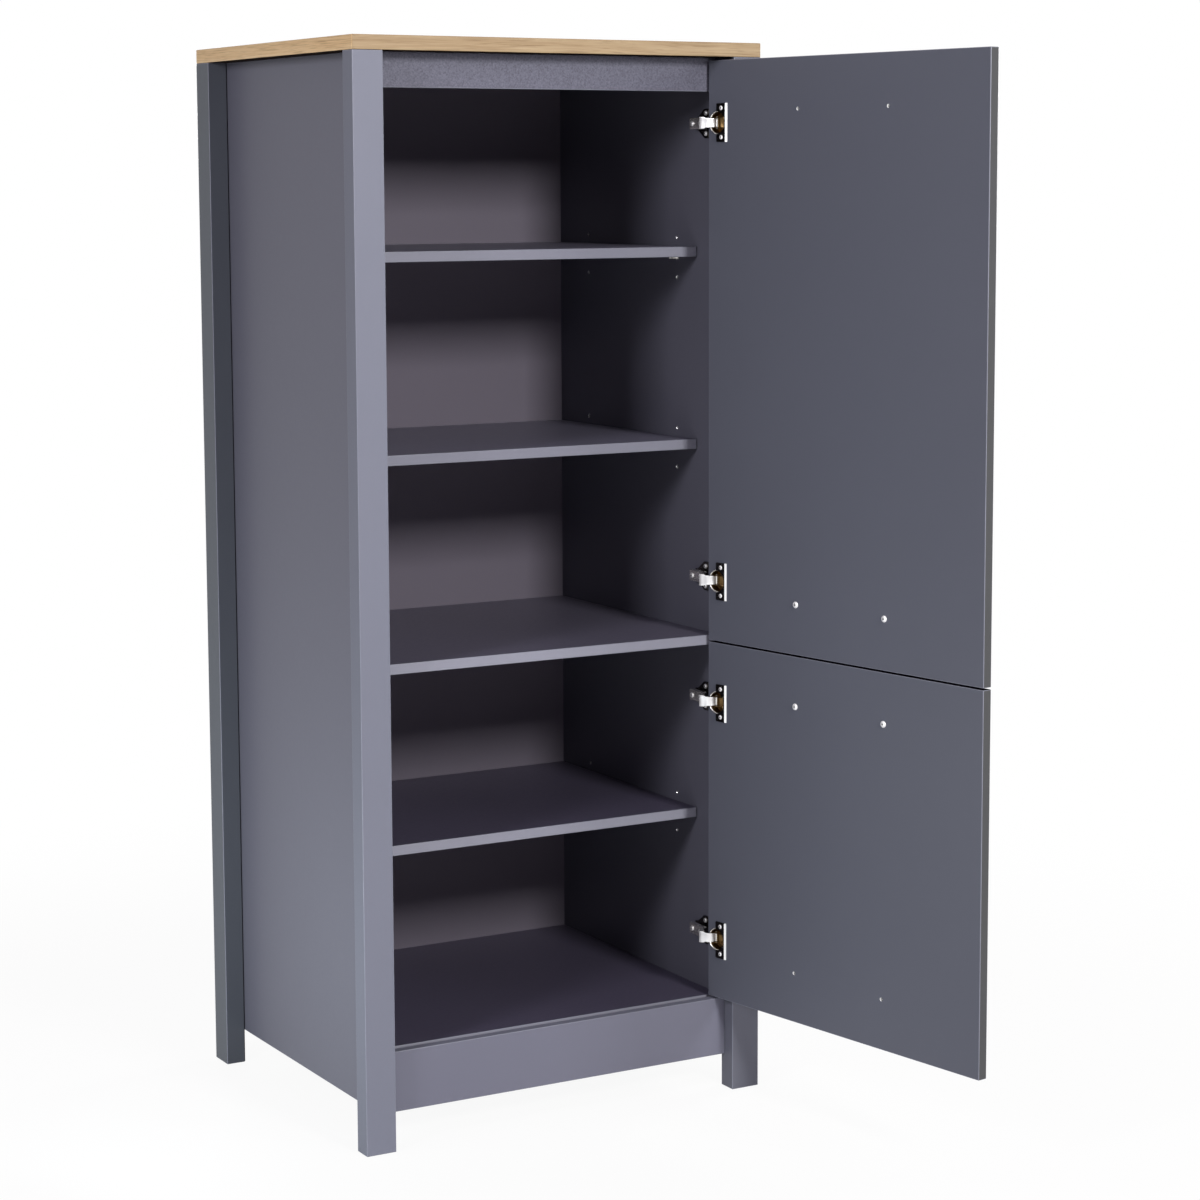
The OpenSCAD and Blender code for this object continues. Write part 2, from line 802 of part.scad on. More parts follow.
// A door, drilled for its hinges and handle, and at the other end for a handle on the other hand
module door(span, heights, handle_z, pilot_z) {
    difference() {
        board([door_left, rail_set, span[0]], [door_w, door_t, span[1] - span[0]]);
        each_cup(heights) translate([0, 0, -cut])
            cylinder(d = cup_d + 2 * fit, h = cup_depth + fit + cut, $fn = 64);
        each_cup_screw(heights) screw_hole(cup_screw);
        each_handle_screw(handle_z) screw_hole(handle_screw);
        each_handle_screw(pilot_z) translate([0, 0, -pilot_deep])
            cylinder(d = handle_screw[0] + 2 * fit, h = pilot_deep + cut, $fn = 24);
    }
}

module door_upper() {
    color(paint) placed() opened()
        door(upper_z, upper_hinges, upper_handle_z, upper_z[1] - handle_inset);
}

module door_lower() {
    color(paint) placed() opened()
        door(lower_z, lower_hinges, lower_handle_z, lower_z[0] + handle_inset);
}

// The round bar of a handle, with a seat for each post
module handle_bar(z) {
    length = handle_pitch + 2 * handle_over;
    difference() {
        along_x([(door_left + door_right - length) / 2, rail_set - handle_reach, z], handle_d, length);
        for (side = [-1, 1])
            along_y([(door_left + door_right + side * handle_pitch) / 2, rail_set - post_l - fit, z],
                post_d + 2 * fit, handle_d);
    }
}

// The two posts of a handle, tapped for the screws that come through the door
module handle_posts(z) {
    difference() {
        for (side = [-1, 1])
            along_y([(door_left + door_right + side * handle_pitch) / 2, rail_set - post_l, z], post_d,
                post_l);
        each_handle_screw(z) screw_hole(handle_screw);
    }
}

module handle_bar_upper() {
    color(steel) placed() opened() handle_bar(upper_handle_z);
}

module handle_bar_lower() {
    color(steel) placed() opened() handle_bar(lower_handle_z);
}

module handle_posts_upper() {
    color(steel) placed() opened() handle_posts(upper_handle_z);
}

module handle_posts_lower() {
    color(steel) placed() opened() handle_posts(lower_handle_z);
}

module handle_screws_upper() {
    color(steel) placed() opened() each_handle_screw(upper_handle_z) screw(handle_screw);
}

module handle_screws_lower() {
    color(steel) placed() opened() each_handle_screw(lower_handle_z) screw(handle_screw);
}

worktop();
leg_front_left();
leg_front_right();
leg_rear_left();
leg_rear_right();
side_panel_left();
side_panel_right();
bottom_panel();
fixed_shelf();
back_panel();
top_rail_front();
top_rail_rear();
bottom_rail_front();
bottom_rail_rear();
shelf_high();
shelf_middle();
shelf_low();
shelf_pins();
dowels();
cam_locks();
cam_bolts();
leg_screws();
back_panel_screws();
angle_brackets();
bracket_screws();
hinge_plates();
plate_screws();
hinge_arms();
arm_screws();
hinge_cups_upper();
hinge_cups_lower();
hinge_pins_upper();
hinge_pins_lower();
cup_screws_upper();
cup_screws_lower();
door_upper();
door_lower();
handle_bar_upper();
handle_bar_lower();
handle_posts_upper();
handle_posts_lower();
handle_screws_upper();
handle_screws_lower();
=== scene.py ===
import json
import math

import bmesh
import bpy
from mathutils import Matrix, Vector


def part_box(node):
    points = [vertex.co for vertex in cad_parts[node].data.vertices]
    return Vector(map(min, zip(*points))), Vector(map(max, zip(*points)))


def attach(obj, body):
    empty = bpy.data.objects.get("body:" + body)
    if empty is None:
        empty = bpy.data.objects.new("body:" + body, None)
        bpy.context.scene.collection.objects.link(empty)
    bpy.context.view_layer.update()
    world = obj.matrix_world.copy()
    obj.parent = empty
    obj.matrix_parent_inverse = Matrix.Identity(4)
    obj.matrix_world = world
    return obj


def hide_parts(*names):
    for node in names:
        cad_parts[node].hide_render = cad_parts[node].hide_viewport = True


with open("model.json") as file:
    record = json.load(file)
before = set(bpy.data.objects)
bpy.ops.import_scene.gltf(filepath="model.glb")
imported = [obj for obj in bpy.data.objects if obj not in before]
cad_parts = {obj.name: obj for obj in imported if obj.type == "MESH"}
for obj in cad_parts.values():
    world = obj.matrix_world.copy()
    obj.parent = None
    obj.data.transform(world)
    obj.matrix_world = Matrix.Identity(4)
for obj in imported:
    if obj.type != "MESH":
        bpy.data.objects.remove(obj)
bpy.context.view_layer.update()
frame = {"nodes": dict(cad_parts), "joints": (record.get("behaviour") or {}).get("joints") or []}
scene = bpy.context.scene
mm = 0.001
middleX = sum(corner.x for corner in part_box("worktop")) / 2  # halfway across the cabinet
panelFaces = {"Left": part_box("side_panel_left")[1].x, "Right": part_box("side_panel_right")[0].x}  # inner faces

# What sits on the doors is made with them shut, square to the axes, and then turned open
doorJoint = frame["joints"][0]
hingeLine = Vector((doorJoint["pos_m"][0], doorJoint["pos_m"][1], 0))
openAngle = math.radians(-doorJoint["range_deg"][0])
toLine, fromLine = Matrix.Translation(hingeLine), Matrix.Translation(-hingeLine)
closing = toLine @ Matrix.Rotation(-openAngle, 4, "Z") @ fromLine
opening = closing.inverted()


# Small helpers
def linear(colour):  # a colour written as 0 to 255 on screen, as the shaders want it
    parts = [c / 255 for c in colour]
    return [c / 12.92 if c < 0.04045 else ((c + 0.055) / 1.055) ** 2.4 for c in parts] + [1.0]


def scaled(colour, share):
    return [min(1.0, c * share) for c in colour[:3]] + [1.0]


def connected(start):  # every vertex that edges join to this one
    seen, waiting = {start}, [start]
    while waiting:
        v = waiting.pop()
        for edge in v.link_edges:
            other = edge.other_vert(v)
            if other not in seen:
                seen.add(other)
                waiting.append(other)
    return seen


def solidsOf(node, closed=False):  # the box of each separate solid in a CAD node, doors shut if asked
    bm = bmesh.new()
    bm.from_mesh(frame["nodes"][node].data)
    bmesh.ops.remove_doubles(bm, verts=bm.verts, dist=1e-6)
    if closed:
        bm.transform(closing)
    boxes, seen = [], set()
    for start in bm.verts:
        if start in seen:
            continue
        island = connected(start)
        seen |= island
        low = Vector(min(v.co[i] for v in island) for i in range(3))
        high = Vector(max(v.co[i] for v in island) for i in range(3))
        boxes.append((low, high))
    bm.free()
    return boxes


def meshFrom(bm, name, looks=()):
    mesh = bpy.data.meshes.new(name)
    bm.to_mesh(mesh)
    bm.free()
    for look in looks:
        mesh.materials.append(look)
    return mesh


def objectFrom(bm, name, looks):
    made = bpy.data.objects.new(name, meshFrom(bm, name, looks))
    scene.collection.objects.link(made)
    return made


def finishPiece(bm, name, body, looks, node, opened=False):
    if opened:
        bm.transform(opening)
    piece = objectFrom(bm, name, looks)
    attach(piece, body)
    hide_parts(node)
    return piece


def blockBetween(bm, low, high):
    low, high = Vector(low), Vector(high)
    made = bmesh.ops.create_cube(bm, size=1.0)["verts"]
    bmesh.ops.scale(bm, verts=made, vec=high - low)
    bmesh.ops.translate(bm, verts=made, vec=(low + high) / 2)
    return made


def edgesOf(verts):
    inside = set(verts)
    return list({e for v in verts for e in v.link_edges if e.verts[0] in inside and e.verts[1] in inside})


def roundEdges(bm, edges, offset, segments=2, look=None):
    made = bmesh.ops.bevel(bm, geom=edges, offset=offset, offset_type="OFFSET", segments=segments,
                           profile=0.5, affect="EDGES", material=-1, clamp_overlap=True)["faces"]
    for face in made:
        face.smooth = True
        if look is not None:
            face.material_index = look


def rowThrough(bm, points):  # a chain of vertices and edges
    row = [bm.verts.new(point) for point in points]
    for pair in zip(row, row[1:]):
        bm.edges.new(pair)
    return row


def edgesAlong(bm, row):
    return [bm.edges.get(pair) for pair in zip(row, row[1:])]


def pullRow(bm, row):  # extrudes a row, and gives the new row and the faces between the two
    made = bmesh.ops.extrude_edge_only(bm, edges=edgesAlong(bm, row))["geom"]
    fresh = {g for g in made if isinstance(g, bmesh.types.BMVert)}
    faces = [g for g in made if isinstance(g, bmesh.types.BMFace)]
    for face in faces:
        face.smooth = True
    return [next(e.other_vert(v) for e in v.link_edges if e.other_vert(v) in fresh) for v in row], faces


def spinProfile(bm, points, steps, smooth=True):  # points are (radius, height), turned about Z
    row = rowThrough(bm, [(radius, 0, height) for radius, height in points])
    made = bmesh.ops.spin(bm, geom=row + edgesAlong(bm, row), cent=(0, 0, 0), axis=(0, 0, 1),
                          dvec=(0, 0, 0), angle=math.tau, steps=steps, use_merge=True, use_duplicate=False)
    turned = [g for g in made["geom_last"] if isinstance(g, bmesh.types.BMVert)] + row
    island = list({v for t in turned if t.is_valid for v in connected(t)})
    bmesh.ops.remove_doubles(bm, verts=island, dist=1e-6)
    island = [v for v in island if v.is_valid]
    faces = list({f for v in island for f in v.link_faces})
    bmesh.ops.recalc_face_normals(bm, faces=faces)
    for face in faces:
        face.smooth = smooth
    return island


def markSharp(bm, degrees):  # keeps crisp corners on smooth shaded metal
    for edge in bm.edges:
        if len(edge.link_faces) == 2 and edge.calc_face_angle(0) > math.radians(degrees):
            edge.smooth = False


def facing(direction):  # turns a shape made along Z to point this way
    return Vector(direction).to_track_quat("Z", "Y").to_matrix().to_4x4()


def cutWith(piece, cutter):  # takes the cutter's volume out of the piece, and keeps the cutter's finish there
    cut = piece.modifiers.new("cut", "BOOLEAN")
    cut.operation, cut.solver, cut.object = "DIFFERENCE", "EXACT", cutter
    cut.material_mode = "TRANSFER"
    bpy.context.view_layer.update()
    evaluated = piece.evaluated_get(bpy.context.evaluated_depsgraph_get())
    mesh = bpy.data.meshes.new_from_object(evaluated)
    piece.modifiers.clear()
    old, piece.data = piece.data, mesh
    mesh.name = piece.name
    bpy.data.meshes.remove(old)
    bpy.data.objects.remove(cutter)


def placeCopies(bm, mesh, places):
    for place in places:
        before = len(bm.verts)
        bm.from_mesh(mesh)
        bm.verts.ensure_lookup_table()
        bmesh.ops.transform(bm, matrix=place, verts=bm.verts[before:])


# Shader wiring
class Wire:
    def __init__(self, tree, socket):
        self.tree, self.socket = tree, socket

    def add(self, kind, settings=None, sockets=None, out=0):
        node = self.tree.nodes.new(kind)
        for name, value in (settings or {}).items():
            if name == "stops":
                ramp = node.color_ramp
                while len(ramp.elements) < len(value):
                    ramp.elements.new(0.5)
                for element, (at, colour) in zip(ramp.elements, value):
                    element.position, element.color = at, colour
            else:
                setattr(node, name, value)
        for name, value in (sockets or {}).items():
            if isinstance(value, Wire):
                self.tree.links.new(value.socket, node.inputs[name])
            else:
                node.inputs[name].default_value = value
        return Wire(self.tree, node.outputs[out])

    def maths(self, operation, a, b):
        return self.add("ShaderNodeMath", {"operation": operation}, {0: a, 1: b})

    def vectors(self, operation, sockets, out=0):
        return self.add("ShaderNodeVectorMath", {"operation": operation}, sockets, out)

    def mixed(self, share, a, b):  # colours
        return self.add("ShaderNodeMix", {"data_type": "RGBA"}, {0: share, 6: a, 7: b}, out=2)

    def noise(self, scale, detail=3.0, roughness=0.5, distortion=0.0):
        return self.add("ShaderNodeTexNoise", {}, {
            "Vector": self, "Scale": scale, "Detail": detail, "Roughness": roughness,
            "Distortion": distortion})

    def stretched(self, scale):
        return self.add("ShaderNodeMapping", {}, {"Vector": self, "Scale": scale})

    def ramp(self, stops):
        return self.add("ShaderNodeValToRGB", {"stops": stops}, {0: self})

    def bumped(self, distance, strength=1.0):
        return self.add("ShaderNodeBump", {}, {"Height": self, "Distance": distance, "Strength": strength})

    def rays(self, kind):
        return self.add("ShaderNodeLightPath", out=kind)

    def __add__(self, other):
        return self.maths("ADD", self, other)

    def __sub__(self, other):
        return self.maths("SUBTRACT", self, other)

    def __rsub__(self, other):
        return self.maths("SUBTRACT", other, self)

    def __mul__(self, other):
        return self.maths("MULTIPLY", self, other)

    __radd__ = __add__
    __rmul__ = __mul__


def startLook(name, metal=0.0, sheen=0.5):
    look = bpy.data.materials.new(name)
    look.use_nodes = True
    tree = look.node_tree
    shader = tree.nodes["Principled BSDF"]
    place = Wire(tree, None).add("ShaderNodeTexCoord", out="Object")
    shader.inputs["Metallic"].default_value = metal
    shader.inputs["Specular IOR Level"].default_value = sheen
    return look, place, shader


def feed(shader, **wires):
    for socket, wire in wires.items():
        wire.tree.links.new(wire.socket, shader.inputs[socket.replace("_", " ")])


# Finishes
def makePaint(name, values):
    look, place, shader = startLook(name, sheen=values["sheen"])
    base = linear(values["colour"])
    broad = place.noise(values["broadScale"], 3.0, 0.55)
    fine = place.noise(values["speckleScale"], 2.0, 0.6)
    roller = place.noise(values["rollerScale"], 3.0, 0.6)
    tone = 1.0 + (broad - 0.5) * values["mottle"] + (fine - 0.5) * values["speckle"]
    cool = scaled(base, values["cool"])
    warm = [c * share for c, share in zip(base, values["warm"])] + [1.0]
    colour = place.vectors("SCALE", {0: place.mixed(broad, cool, warm), "Scale": tone})
    gloss = (values["roughness"] + (roller - 0.5) * values["rollerGloss"]
             + (broad - 0.5) * values["broadGloss"])
    peel = place.noise(values["peelScale"], 2.0, 0.5) * 0.7 + roller * 0.3
    feed(shader, Base_Color=colour, Roughness=gloss, Normal=peel.bumped(values["peel"], 0.6))
    return look


def makeOak(name, values, along):
    look, place, shader = startLook(name, sheen=values["sheen"])
    long, across = values["figure"]
    scale = {"X": (long, across, across), "Y": (across, long, across)}[along]
    fibreScale = tuple(s * values["fibre"] for s in scale)
    poreScale = tuple(s * f for s, f in zip(scale, values["pores"][along]))
    flow = place.noise(1.6, 2.0, 0.5)
    wander = place.vectors("SCALE", {0: place.noise(2.2, 1.0), "Scale": values["wander"]})
    bent = place.vectors("ADD", {0: place, 1: wander})
    figure = bent.stretched(scale).noise(1.0, 5.0, 0.62, 0.35)
    fibre = bent.stretched(fibreScale).noise(1.0, 4.0, 0.65)
    pores = bent.stretched(poreScale).noise(1.0, 2.0, 0.5)
    pore = pores.ramp([(0.0, (1, 1, 1, 1)), (0.36, (1, 1, 1, 1)), (0.44, (0, 0, 0, 1))])
    share = figure * values["shares"][0] + fibre * values["shares"][1] + flow * values["shares"][2]
    wood = share.ramp([(0.36, linear(values["dark"])), (0.50, linear(values["middle"])),
                       (0.62, linear(values["light"]))])
    poreShare = pore * values["poreDepth"]
    colour = place.mixed(poreShare, wood, linear(values["poreColour"]))
    gloss = values["roughness"] + (fibre - 0.5) * 0.2 + poreShare * 0.25
    relief = (fibre * 0.5 - poreShare).bumped(values["relief"], 0.7)
    feed(shader, Base_Color=colour, Roughness=gloss, Normal=relief)
    return look


def makeMetal(name, values):
    look, place, shader = startLook(name, metal=values["metal"])
    base = linear(values["colour"])
    cloud = place.noise(values["cloudScale"], 3.0, 0.6)
    fine = place.noise(values["fineScale"], 2.0, 0.6)
    brushed = place.stretched(values["brush"]).noise(1.0, 3.0, 0.6)
    colour = place.mixed(cloud, scaled(base, values["dull"]), scaled(base, values["bright"]))
    gloss = (values["roughness"] + (brushed - 0.5) * values["streak"]
             + (fine - 0.5) * values["fineGloss"])
    feed(shader, Base_Color=colour, Roughness=gloss, Normal=brushed.bumped(values["relief"], 0.5))
    return look


def makeChipCore(name, values):  # the raw board inside a drilled hole
    look, place, shader = startLook(name)
    flakes = place.add("ShaderNodeTexVoronoi", {}, {"Vector": place, "Scale": values["flakeScale"]},
                       out="Color")
    tone = place.noise(values["toneScale"], 3.0, 0.6)
    warm = place.mixed(tone, linear(values["dark"]), linear(values["light"]))
    colour = place.mixed(values["flakes"], warm, flakes)
    feed(shader, Base_Color=colour, Roughness=0.75 + tone * 0.2, Normal=tone.bumped(values["relief"]))
    return look


def makeBeech(name, values):
    look, place, shader = startLook(name)
    grain = place.stretched(values["grain"]).noise(1.0, 4.0, 0.6)
    fleck = place.stretched(values["fleck"]).noise(1.0, 2.0, 0.5)
    colour = place.mixed(grain * 0.7 + fleck * 0.3, linear(values["dark"]), linear(values["light"]))
    feed(shader, Base_Color=colour, Roughness=0.5 + grain * 0.2, Normal=grain.bumped(values["relief"]))
    return look


slatePaint = {"colour": (97, 98, 109), "cool": 0.985, "warm": (1.015, 1.01, 1.0), "mottle": 0.06,
              "broadScale": 2.3, "speckle": 0.06, "speckleScale": 620.0, "roughness": 0.42,
              "rollerScale": 160.0, "rollerGloss": 0.09, "broadGloss": 0.05, "peel": 0.00005,
              "peelScale": 420.0, "sheen": 0.14}
frontLegPaint = {**slatePaint, "colour": (104, 107, 119)}
# painted light: the front face of the front left leg is a lighter copy of the leg paint, for the light falling on
# it from the front
litLegFacePaint = {**slatePaint, "colour": (121, 124, 138), "sheen": 0.16}
# painted shade: the right front leg has no lighter front face, which stays as dark as its sides for the open
# door's shade on it
shadedRightLegPaint = {**slatePaint, "colour": (105, 107, 118)}
# painted shade: the rear legs, sides and front faces, are darker copies of the front legs' paints, for the light
# falling off towards the back
shadedRearLegPaint = {**slatePaint, "colour": (82, 87, 94)}
shadedRearLegFacePaint = {**slatePaint, "colour": (90, 94, 102)}
topRailPaint = {**slatePaint, "colour": (98, 98, 112), "speckle": 1.3, "speckleScale": 420.0}
# painted light: the bottom rail is a lighter copy of the paint, for the light that the floor throws back on it
litBottomRailPaint = {**slatePaint, "colour": (116, 117, 132), "speckle": 0.03}
doorPaint = {**slatePaint, "colour": (95, 98, 109), "speckle": 0.03}
doorEdgePaint = {**doorPaint, "colour": (76, 77, 79)}
backPaint = {**slatePaint, "colour": (113, 108, 121), "roughness": 0.5}
shelfPaint = {**slatePaint, "colour": (94, 91, 107), "roughness": 0.38, "sheen": 0.3}
# painted light and shade: the high and middle shelves take a lighter copy, and the low shelf and bottom panel a
# darker copy, of the shelf paint, for how much light reaches their tops
litHighShelfPaint = {**shelfPaint, "colour": (103, 101, 118)}
shadedLowShelfPaint = {**shelfPaint, "colour": (77, 73, 91)}
# painted light: the edges of the fixed and low shelves and the bottom panel take a lighter copy of the edge paint
# than those of the upper shelves
shelfEdgePaint = {**slatePaint, "colour": (130, 131, 144)}
litLowShelfEdgePaint = {**slatePaint, "colour": (143, 144, 157)}
# painted shade: near black, on the faces across the gap between the doors and in the grooves of the rear legs,
# where shade falls
gapShadePaint = {**slatePaint, "colour": (20, 18, 24), "roughness": 0.85, "sheen": 0.0}
# painted shade: the worktop's underside is painted dark for the shade under it
shadedUndersidePaint = {**gapShadePaint, "colour": (40, 34, 32)}
# painted highlight: the rounded arrises of the boards are a lighter, glossier copy of the paint, for the light
# they catch
highlightArrisPaint = {**slatePaint, "colour": (130, 133, 146), "roughness": 0.34, "peel": 0.00002, "sheen": 0.3}

oakTop = {"dark": (166, 134, 94), "middle": (190, 160, 120), "light": (206, 180, 142),
          "figure": (2.2, 70.0), "fibre": 5.5, "wander": 0.02, "shares": (0.54, 0.38, 0.12),
          "pores": {"X": (6.0, 12.0, 12.0), "Y": (12.0, 6.0, 12.0)}, "poreDepth": 0.4,
          "poreColour": (120, 92, 60), "roughness": 0.5, "relief": 0.0001, "sheen": 0.35}
# painted light and shade: the front and back edges take a darker copy, and the end edges a lighter copy, of the
# oak, to even out the light falling on each
shadedOakFront = {**oakTop, "dark": (139, 113, 80), "middle": (160, 136, 102), "light": (174, 152, 119),
            "poreColour": (108, 84, 56)}
litOakSide = {**oakTop, "dark": (190, 154, 108), "middle": (214, 181, 132), "light": (225, 196, 150)}
chipCore = {"dark": (150, 122, 88), "light": (214, 190, 150), "flakes": 0.18, "flakeScale": 700.0,
            "toneScale": 300.0, "relief": 0.0003}
beech = {"dark": (196, 152, 108), "light": (226, 190, 148), "grain": (40, 500, 500), "fleck": (300, 900, 900),
         "relief": 0.00015}

plainMetal = {"metal": 1.0, "cloudScale": 90.0, "dull": 0.9, "bright": 1.06, "fineScale": 900.0,
              "fineGloss": 0.06}
nickel = {**plainMetal, "colour": (238, 236, 231), "metal": 0.88, "roughness": 0.26, "streak": 0.08,
          "brush": (60, 60, 900), "relief": 0.00001}
satinNickel = {**plainMetal, "colour": (196, 193, 186), "roughness": 0.3, "streak": 0.16,
               "brush": (1400, 1400, 60), "relief": 0.00002}
# painted reflection and shade: nickel painted dark, for the dark it reflects on the hinge plates and flanges and
# the shade in screw recesses and the flanges' mouths
nickelPaintedDark = {**plainMetal, "colour": (96, 92, 88), "roughness": 0.26, "streak": 0.1,
              "brush": (80, 80, 800), "relief": 0.00001}
cupBrass = {**nickelPaintedDark, "colour": (132, 106, 68), "roughness": 0.3}
zincPlate = {**plainMetal, "colour": (188, 188, 184), "roughness": 0.34, "streak": 0.12,
             "brush": (500, 500, 500), "relief": 0.00002}
brightZinc = {**plainMetal, "colour": (238, 238, 238), "metal": 0.6, "roughness": 0.34, "streak": 0.08,
              "brush": (700, 700, 700), "relief": 0.00001}
whiteHead = {**brightZinc, "colour": (252, 252, 252), "metal": 0.2, "streak": 0.06}
holeSleeve = {**brightZinc, "colour": (246, 246, 246), "metal": 0.8, "roughness": 0.2}

panelLook = makePaint("slatePanel", slatePaint)
frontLegLook = makePaint("slateFrontLeg", frontLegPaint)
litLegFaceLook = makePaint("slateLegFaceLit", litLegFacePaint)
shadedRightLegLook = makePaint("slateRightLegShaded", shadedRightLegPaint)
shadedRearLegLook = makePaint("slateRearLegShaded", shadedRearLegPaint)
shadedRearLegFaceLook = makePaint("slateRearFaceShaded", shadedRearLegFacePaint)
topRailLook = makePaint("slateTopRail", topRailPaint)
litBottomRailLook = makePaint("slateBottomRailLit", litBottomRailPaint)
doorLook = makePaint("slateDoor", doorPaint)
doorEdgeLook = makePaint("slateDoorEdge", doorEdgePaint)
backLook = makePaint("slateBack", backPaint)
shelfLook = makePaint("slateShelf", shelfPaint)
litHighShelfLook = makePaint("slateHighShelfLit", litHighShelfPaint)
shadedLowShelfLook = makePaint("slateLowShelfShaded", shadedLowShelfPaint)
shelfEdgeLook = makePaint("slateShelfEdge", shelfEdgePaint)
litLowShelfEdgeLook = makePaint("slateLowEdgeLit", litLowShelfEdgePaint)
highlightArrisLook = makePaint("slateArrisHighlight", highlightArrisPaint)
gapShadeLook = makePaint("gapShadeDark", gapShadePaint)
shadedUndersideLook = makePaint("worktopShadedUnderside", shadedUndersidePaint)
oakTopLook = makeOak("oakTop", oakTop, "X")
shadedOakFrontLook = makeOak("frontEdgeShadedOak", shadedOakFront, "X")
litOakSideLook = makeOak("sideEdgeLitOak", litOakSide, "Y")
coreLook = makeChipCore("chipCore", chipCore)
beechLook = makeBeech("beech", beech)
nickelLook = makeMetal("brightNickel", nickel)
satinLook = makeMetal("satinNickel", satinNickel)
nickelPaintedDarkLook = makeMetal("nickelPaintedDark", nickelPaintedDark)
brassLook = makeMetal("cupBrass", cupBrass)
zincLook = makeMetal("zincPlate", zincPlate)
whiteZincLook = makeMetal("brightZinc", brightZinc)
whiteHeadLook = makeMetal("whiteScrewHead", whiteHead)
sleeveLook = makeMetal("holeSleeve", holeSleeve)
print("finishes: done")


# Worktop
worktop = {"arris": 1.6 * mm, "segments": 4}


def makeWorktop():
    bm = bmesh.new()
    blockBetween(bm, *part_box("worktop"))
    for face in bm.faces:
        # painted shade: the underside takes the dark underside paint
        if face.normal.z < -0.5:
            face.material_index = 3
        # painted light and shade: the front and back take the darker oak, the ends the lighter oak
        elif abs(face.normal.y) > 0.5:
            face.material_index = 1
        elif abs(face.normal.x) > 0.5:
            face.material_index = 2
    roundEdges(bm, bm.edges[:], worktop["arris"], worktop["segments"])
    looks = [oakTopLook, shadedOakFrontLook, litOakSideLook, shadedUndersideLook]
    finishPiece(bm, "worktopBoard", "carcass", looks, "worktop")


makeWorktop()
print("worktop: done")


# Painted boards
boards = {
    "arris": 0.9 * mm,
    "segments": 3,
    "list": {  # piece: CAD node, main finish, finish of its front edge
        "legFrontLeft": ("leg_front_left", frontLegLook, litLegFaceLook),
        "legFrontRight": ("leg_front_right", shadedRightLegLook, shadedRightLegLook),
        "legRearLeft": ("leg_rear_left", shadedRearLegLook, shadedRearLegFaceLook),
        "legRearRight": ("leg_rear_right", shadedRearLegLook, shadedRearLegFaceLook),
        "sidePanelLeft": ("side_panel_left", panelLook, panelLook),
        "sidePanelRight": ("side_panel_right", panelLook, panelLook),
        "bottomPanel": ("bottom_panel", shadedLowShelfLook, litLowShelfEdgeLook),
        "fixedShelf": ("fixed_shelf", shelfLook, litLowShelfEdgeLook),
        "topRailFront": ("top_rail_front", topRailLook, topRailLook),
        "topRailRear": ("top_rail_rear", panelLook, panelLook),
        "bottomRailFront": ("bottom_rail_front", litBottomRailLook, litBottomRailLook),
        "bottomRailRear": ("bottom_rail_rear", panelLook, panelLook),
        "shelfHigh": ("shelf_high", litHighShelfLook, shelfEdgeLook),
        "shelfMiddle": ("shelf_middle", litHighShelfLook, shelfEdgeLook),
        "shelfLow": ("shelf_low", shadedLowShelfLook, litLowShelfEdgeLook),
    },
}
legGroove = {"wide": 2.0 * mm, "deep": 3.0 * mm, "slope": 0.2 * mm, "near": 0.01 * mm}  # near: a tolerance


def cutLegGroove(bm, low, high, inward):  # a groove where a side panel meets its rear leg, its faces painted near black as painted shade
    inner = high.x if inward > 0 else low.x
    far = inner - inward * legGroove["wide"]
    for at in (far - inward * legGroove["slope"], far):
        bmesh.ops.bisect_plane(bm, geom=bm.verts[:] + bm.edges[:] + bm.faces[:], plane_co=(at, 0, 0),
                               plane_no=(1, 0, 0), dist=1e-6)
    floorY = low.y + legGroove["deep"]
    inside = [v for v in bm.verts if (v.co.x - far) * inward > -legGroove["near"]]
    for v in inside:
        v.co.y = max(v.co.y, floorY)
    # painted shade: the groove's faces take the near black paint
    for face in {f for v in inside for f in v.link_faces}:
        if face.calc_center_median().y < floorY + legGroove["near"]:
            face.material_index = 4
            face.smooth = False


def makeBoard(name, node, look, edgeLook, box=None, body="carcass", opened=False, edgeWay=(0, -1, 0)):
    bm = bmesh.new()
    low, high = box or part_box(node)
    blockBetween(bm, low, high)
    for face in bm.faces:
        face.material_index = 2 if face.normal.dot(Vector(edgeWay)) > 0.5 else 0
    # painted highlight: the rounded arrises take the lighter arris paint
    roundEdges(bm, bm.edges[:], boards["arris"], boards["segments"], look=1)
    if node.startswith("leg_rear"):
        cutLegGroove(bm, low, high, 1 if node.endswith("left") else -1)
    if opened:  # painted shade: the two faces across the gap between the doors are painted near black
        towardsGap = 1 if node.endswith("lower") else -1
        for face in bm.faces:
            if face.normal.z * towardsGap > 0.9:
                face.material_index = 4
    looks = [look, highlightArrisLook, edgeLook, coreLook, gapShadeLook]
    return finishPiece(bm, name, body, looks, node, opened)


drill = {
    "rim": 0.8 * mm,  # width and depth of the countersink
    "over": 0.5 * mm,  # how far the bit stands out of the board
    "steps": 32,
}


def drillHoles(piece, holes, look, name, opened=False):  # holes: mouth, way into the board, radius, depth
    bm = bmesh.new()
    rim, over = drill["rim"], drill["over"]
    for mouth, direction, radius, depth in holes:
        bit = bmesh.new()
        wall = [(0, -over), (radius + rim, -over), (radius + rim, 0), (radius, rim), (radius, depth),
                (0, depth)]
        spinProfile(bit, wall, drill["steps"], smooth=False)
        placeCopies(bm, meshFrom(bit, name), [Matrix.Translation(mouth) @ facing(direction)])
    if opened:
        bm.transform(opening)
    cutWith(piece, objectFrom(bm, name, [look]))


carcassBoards = {name: makeBoard(name, *values) for name, values in boards["list"].items()}

backPanel = {"arris": 0.3 * mm}


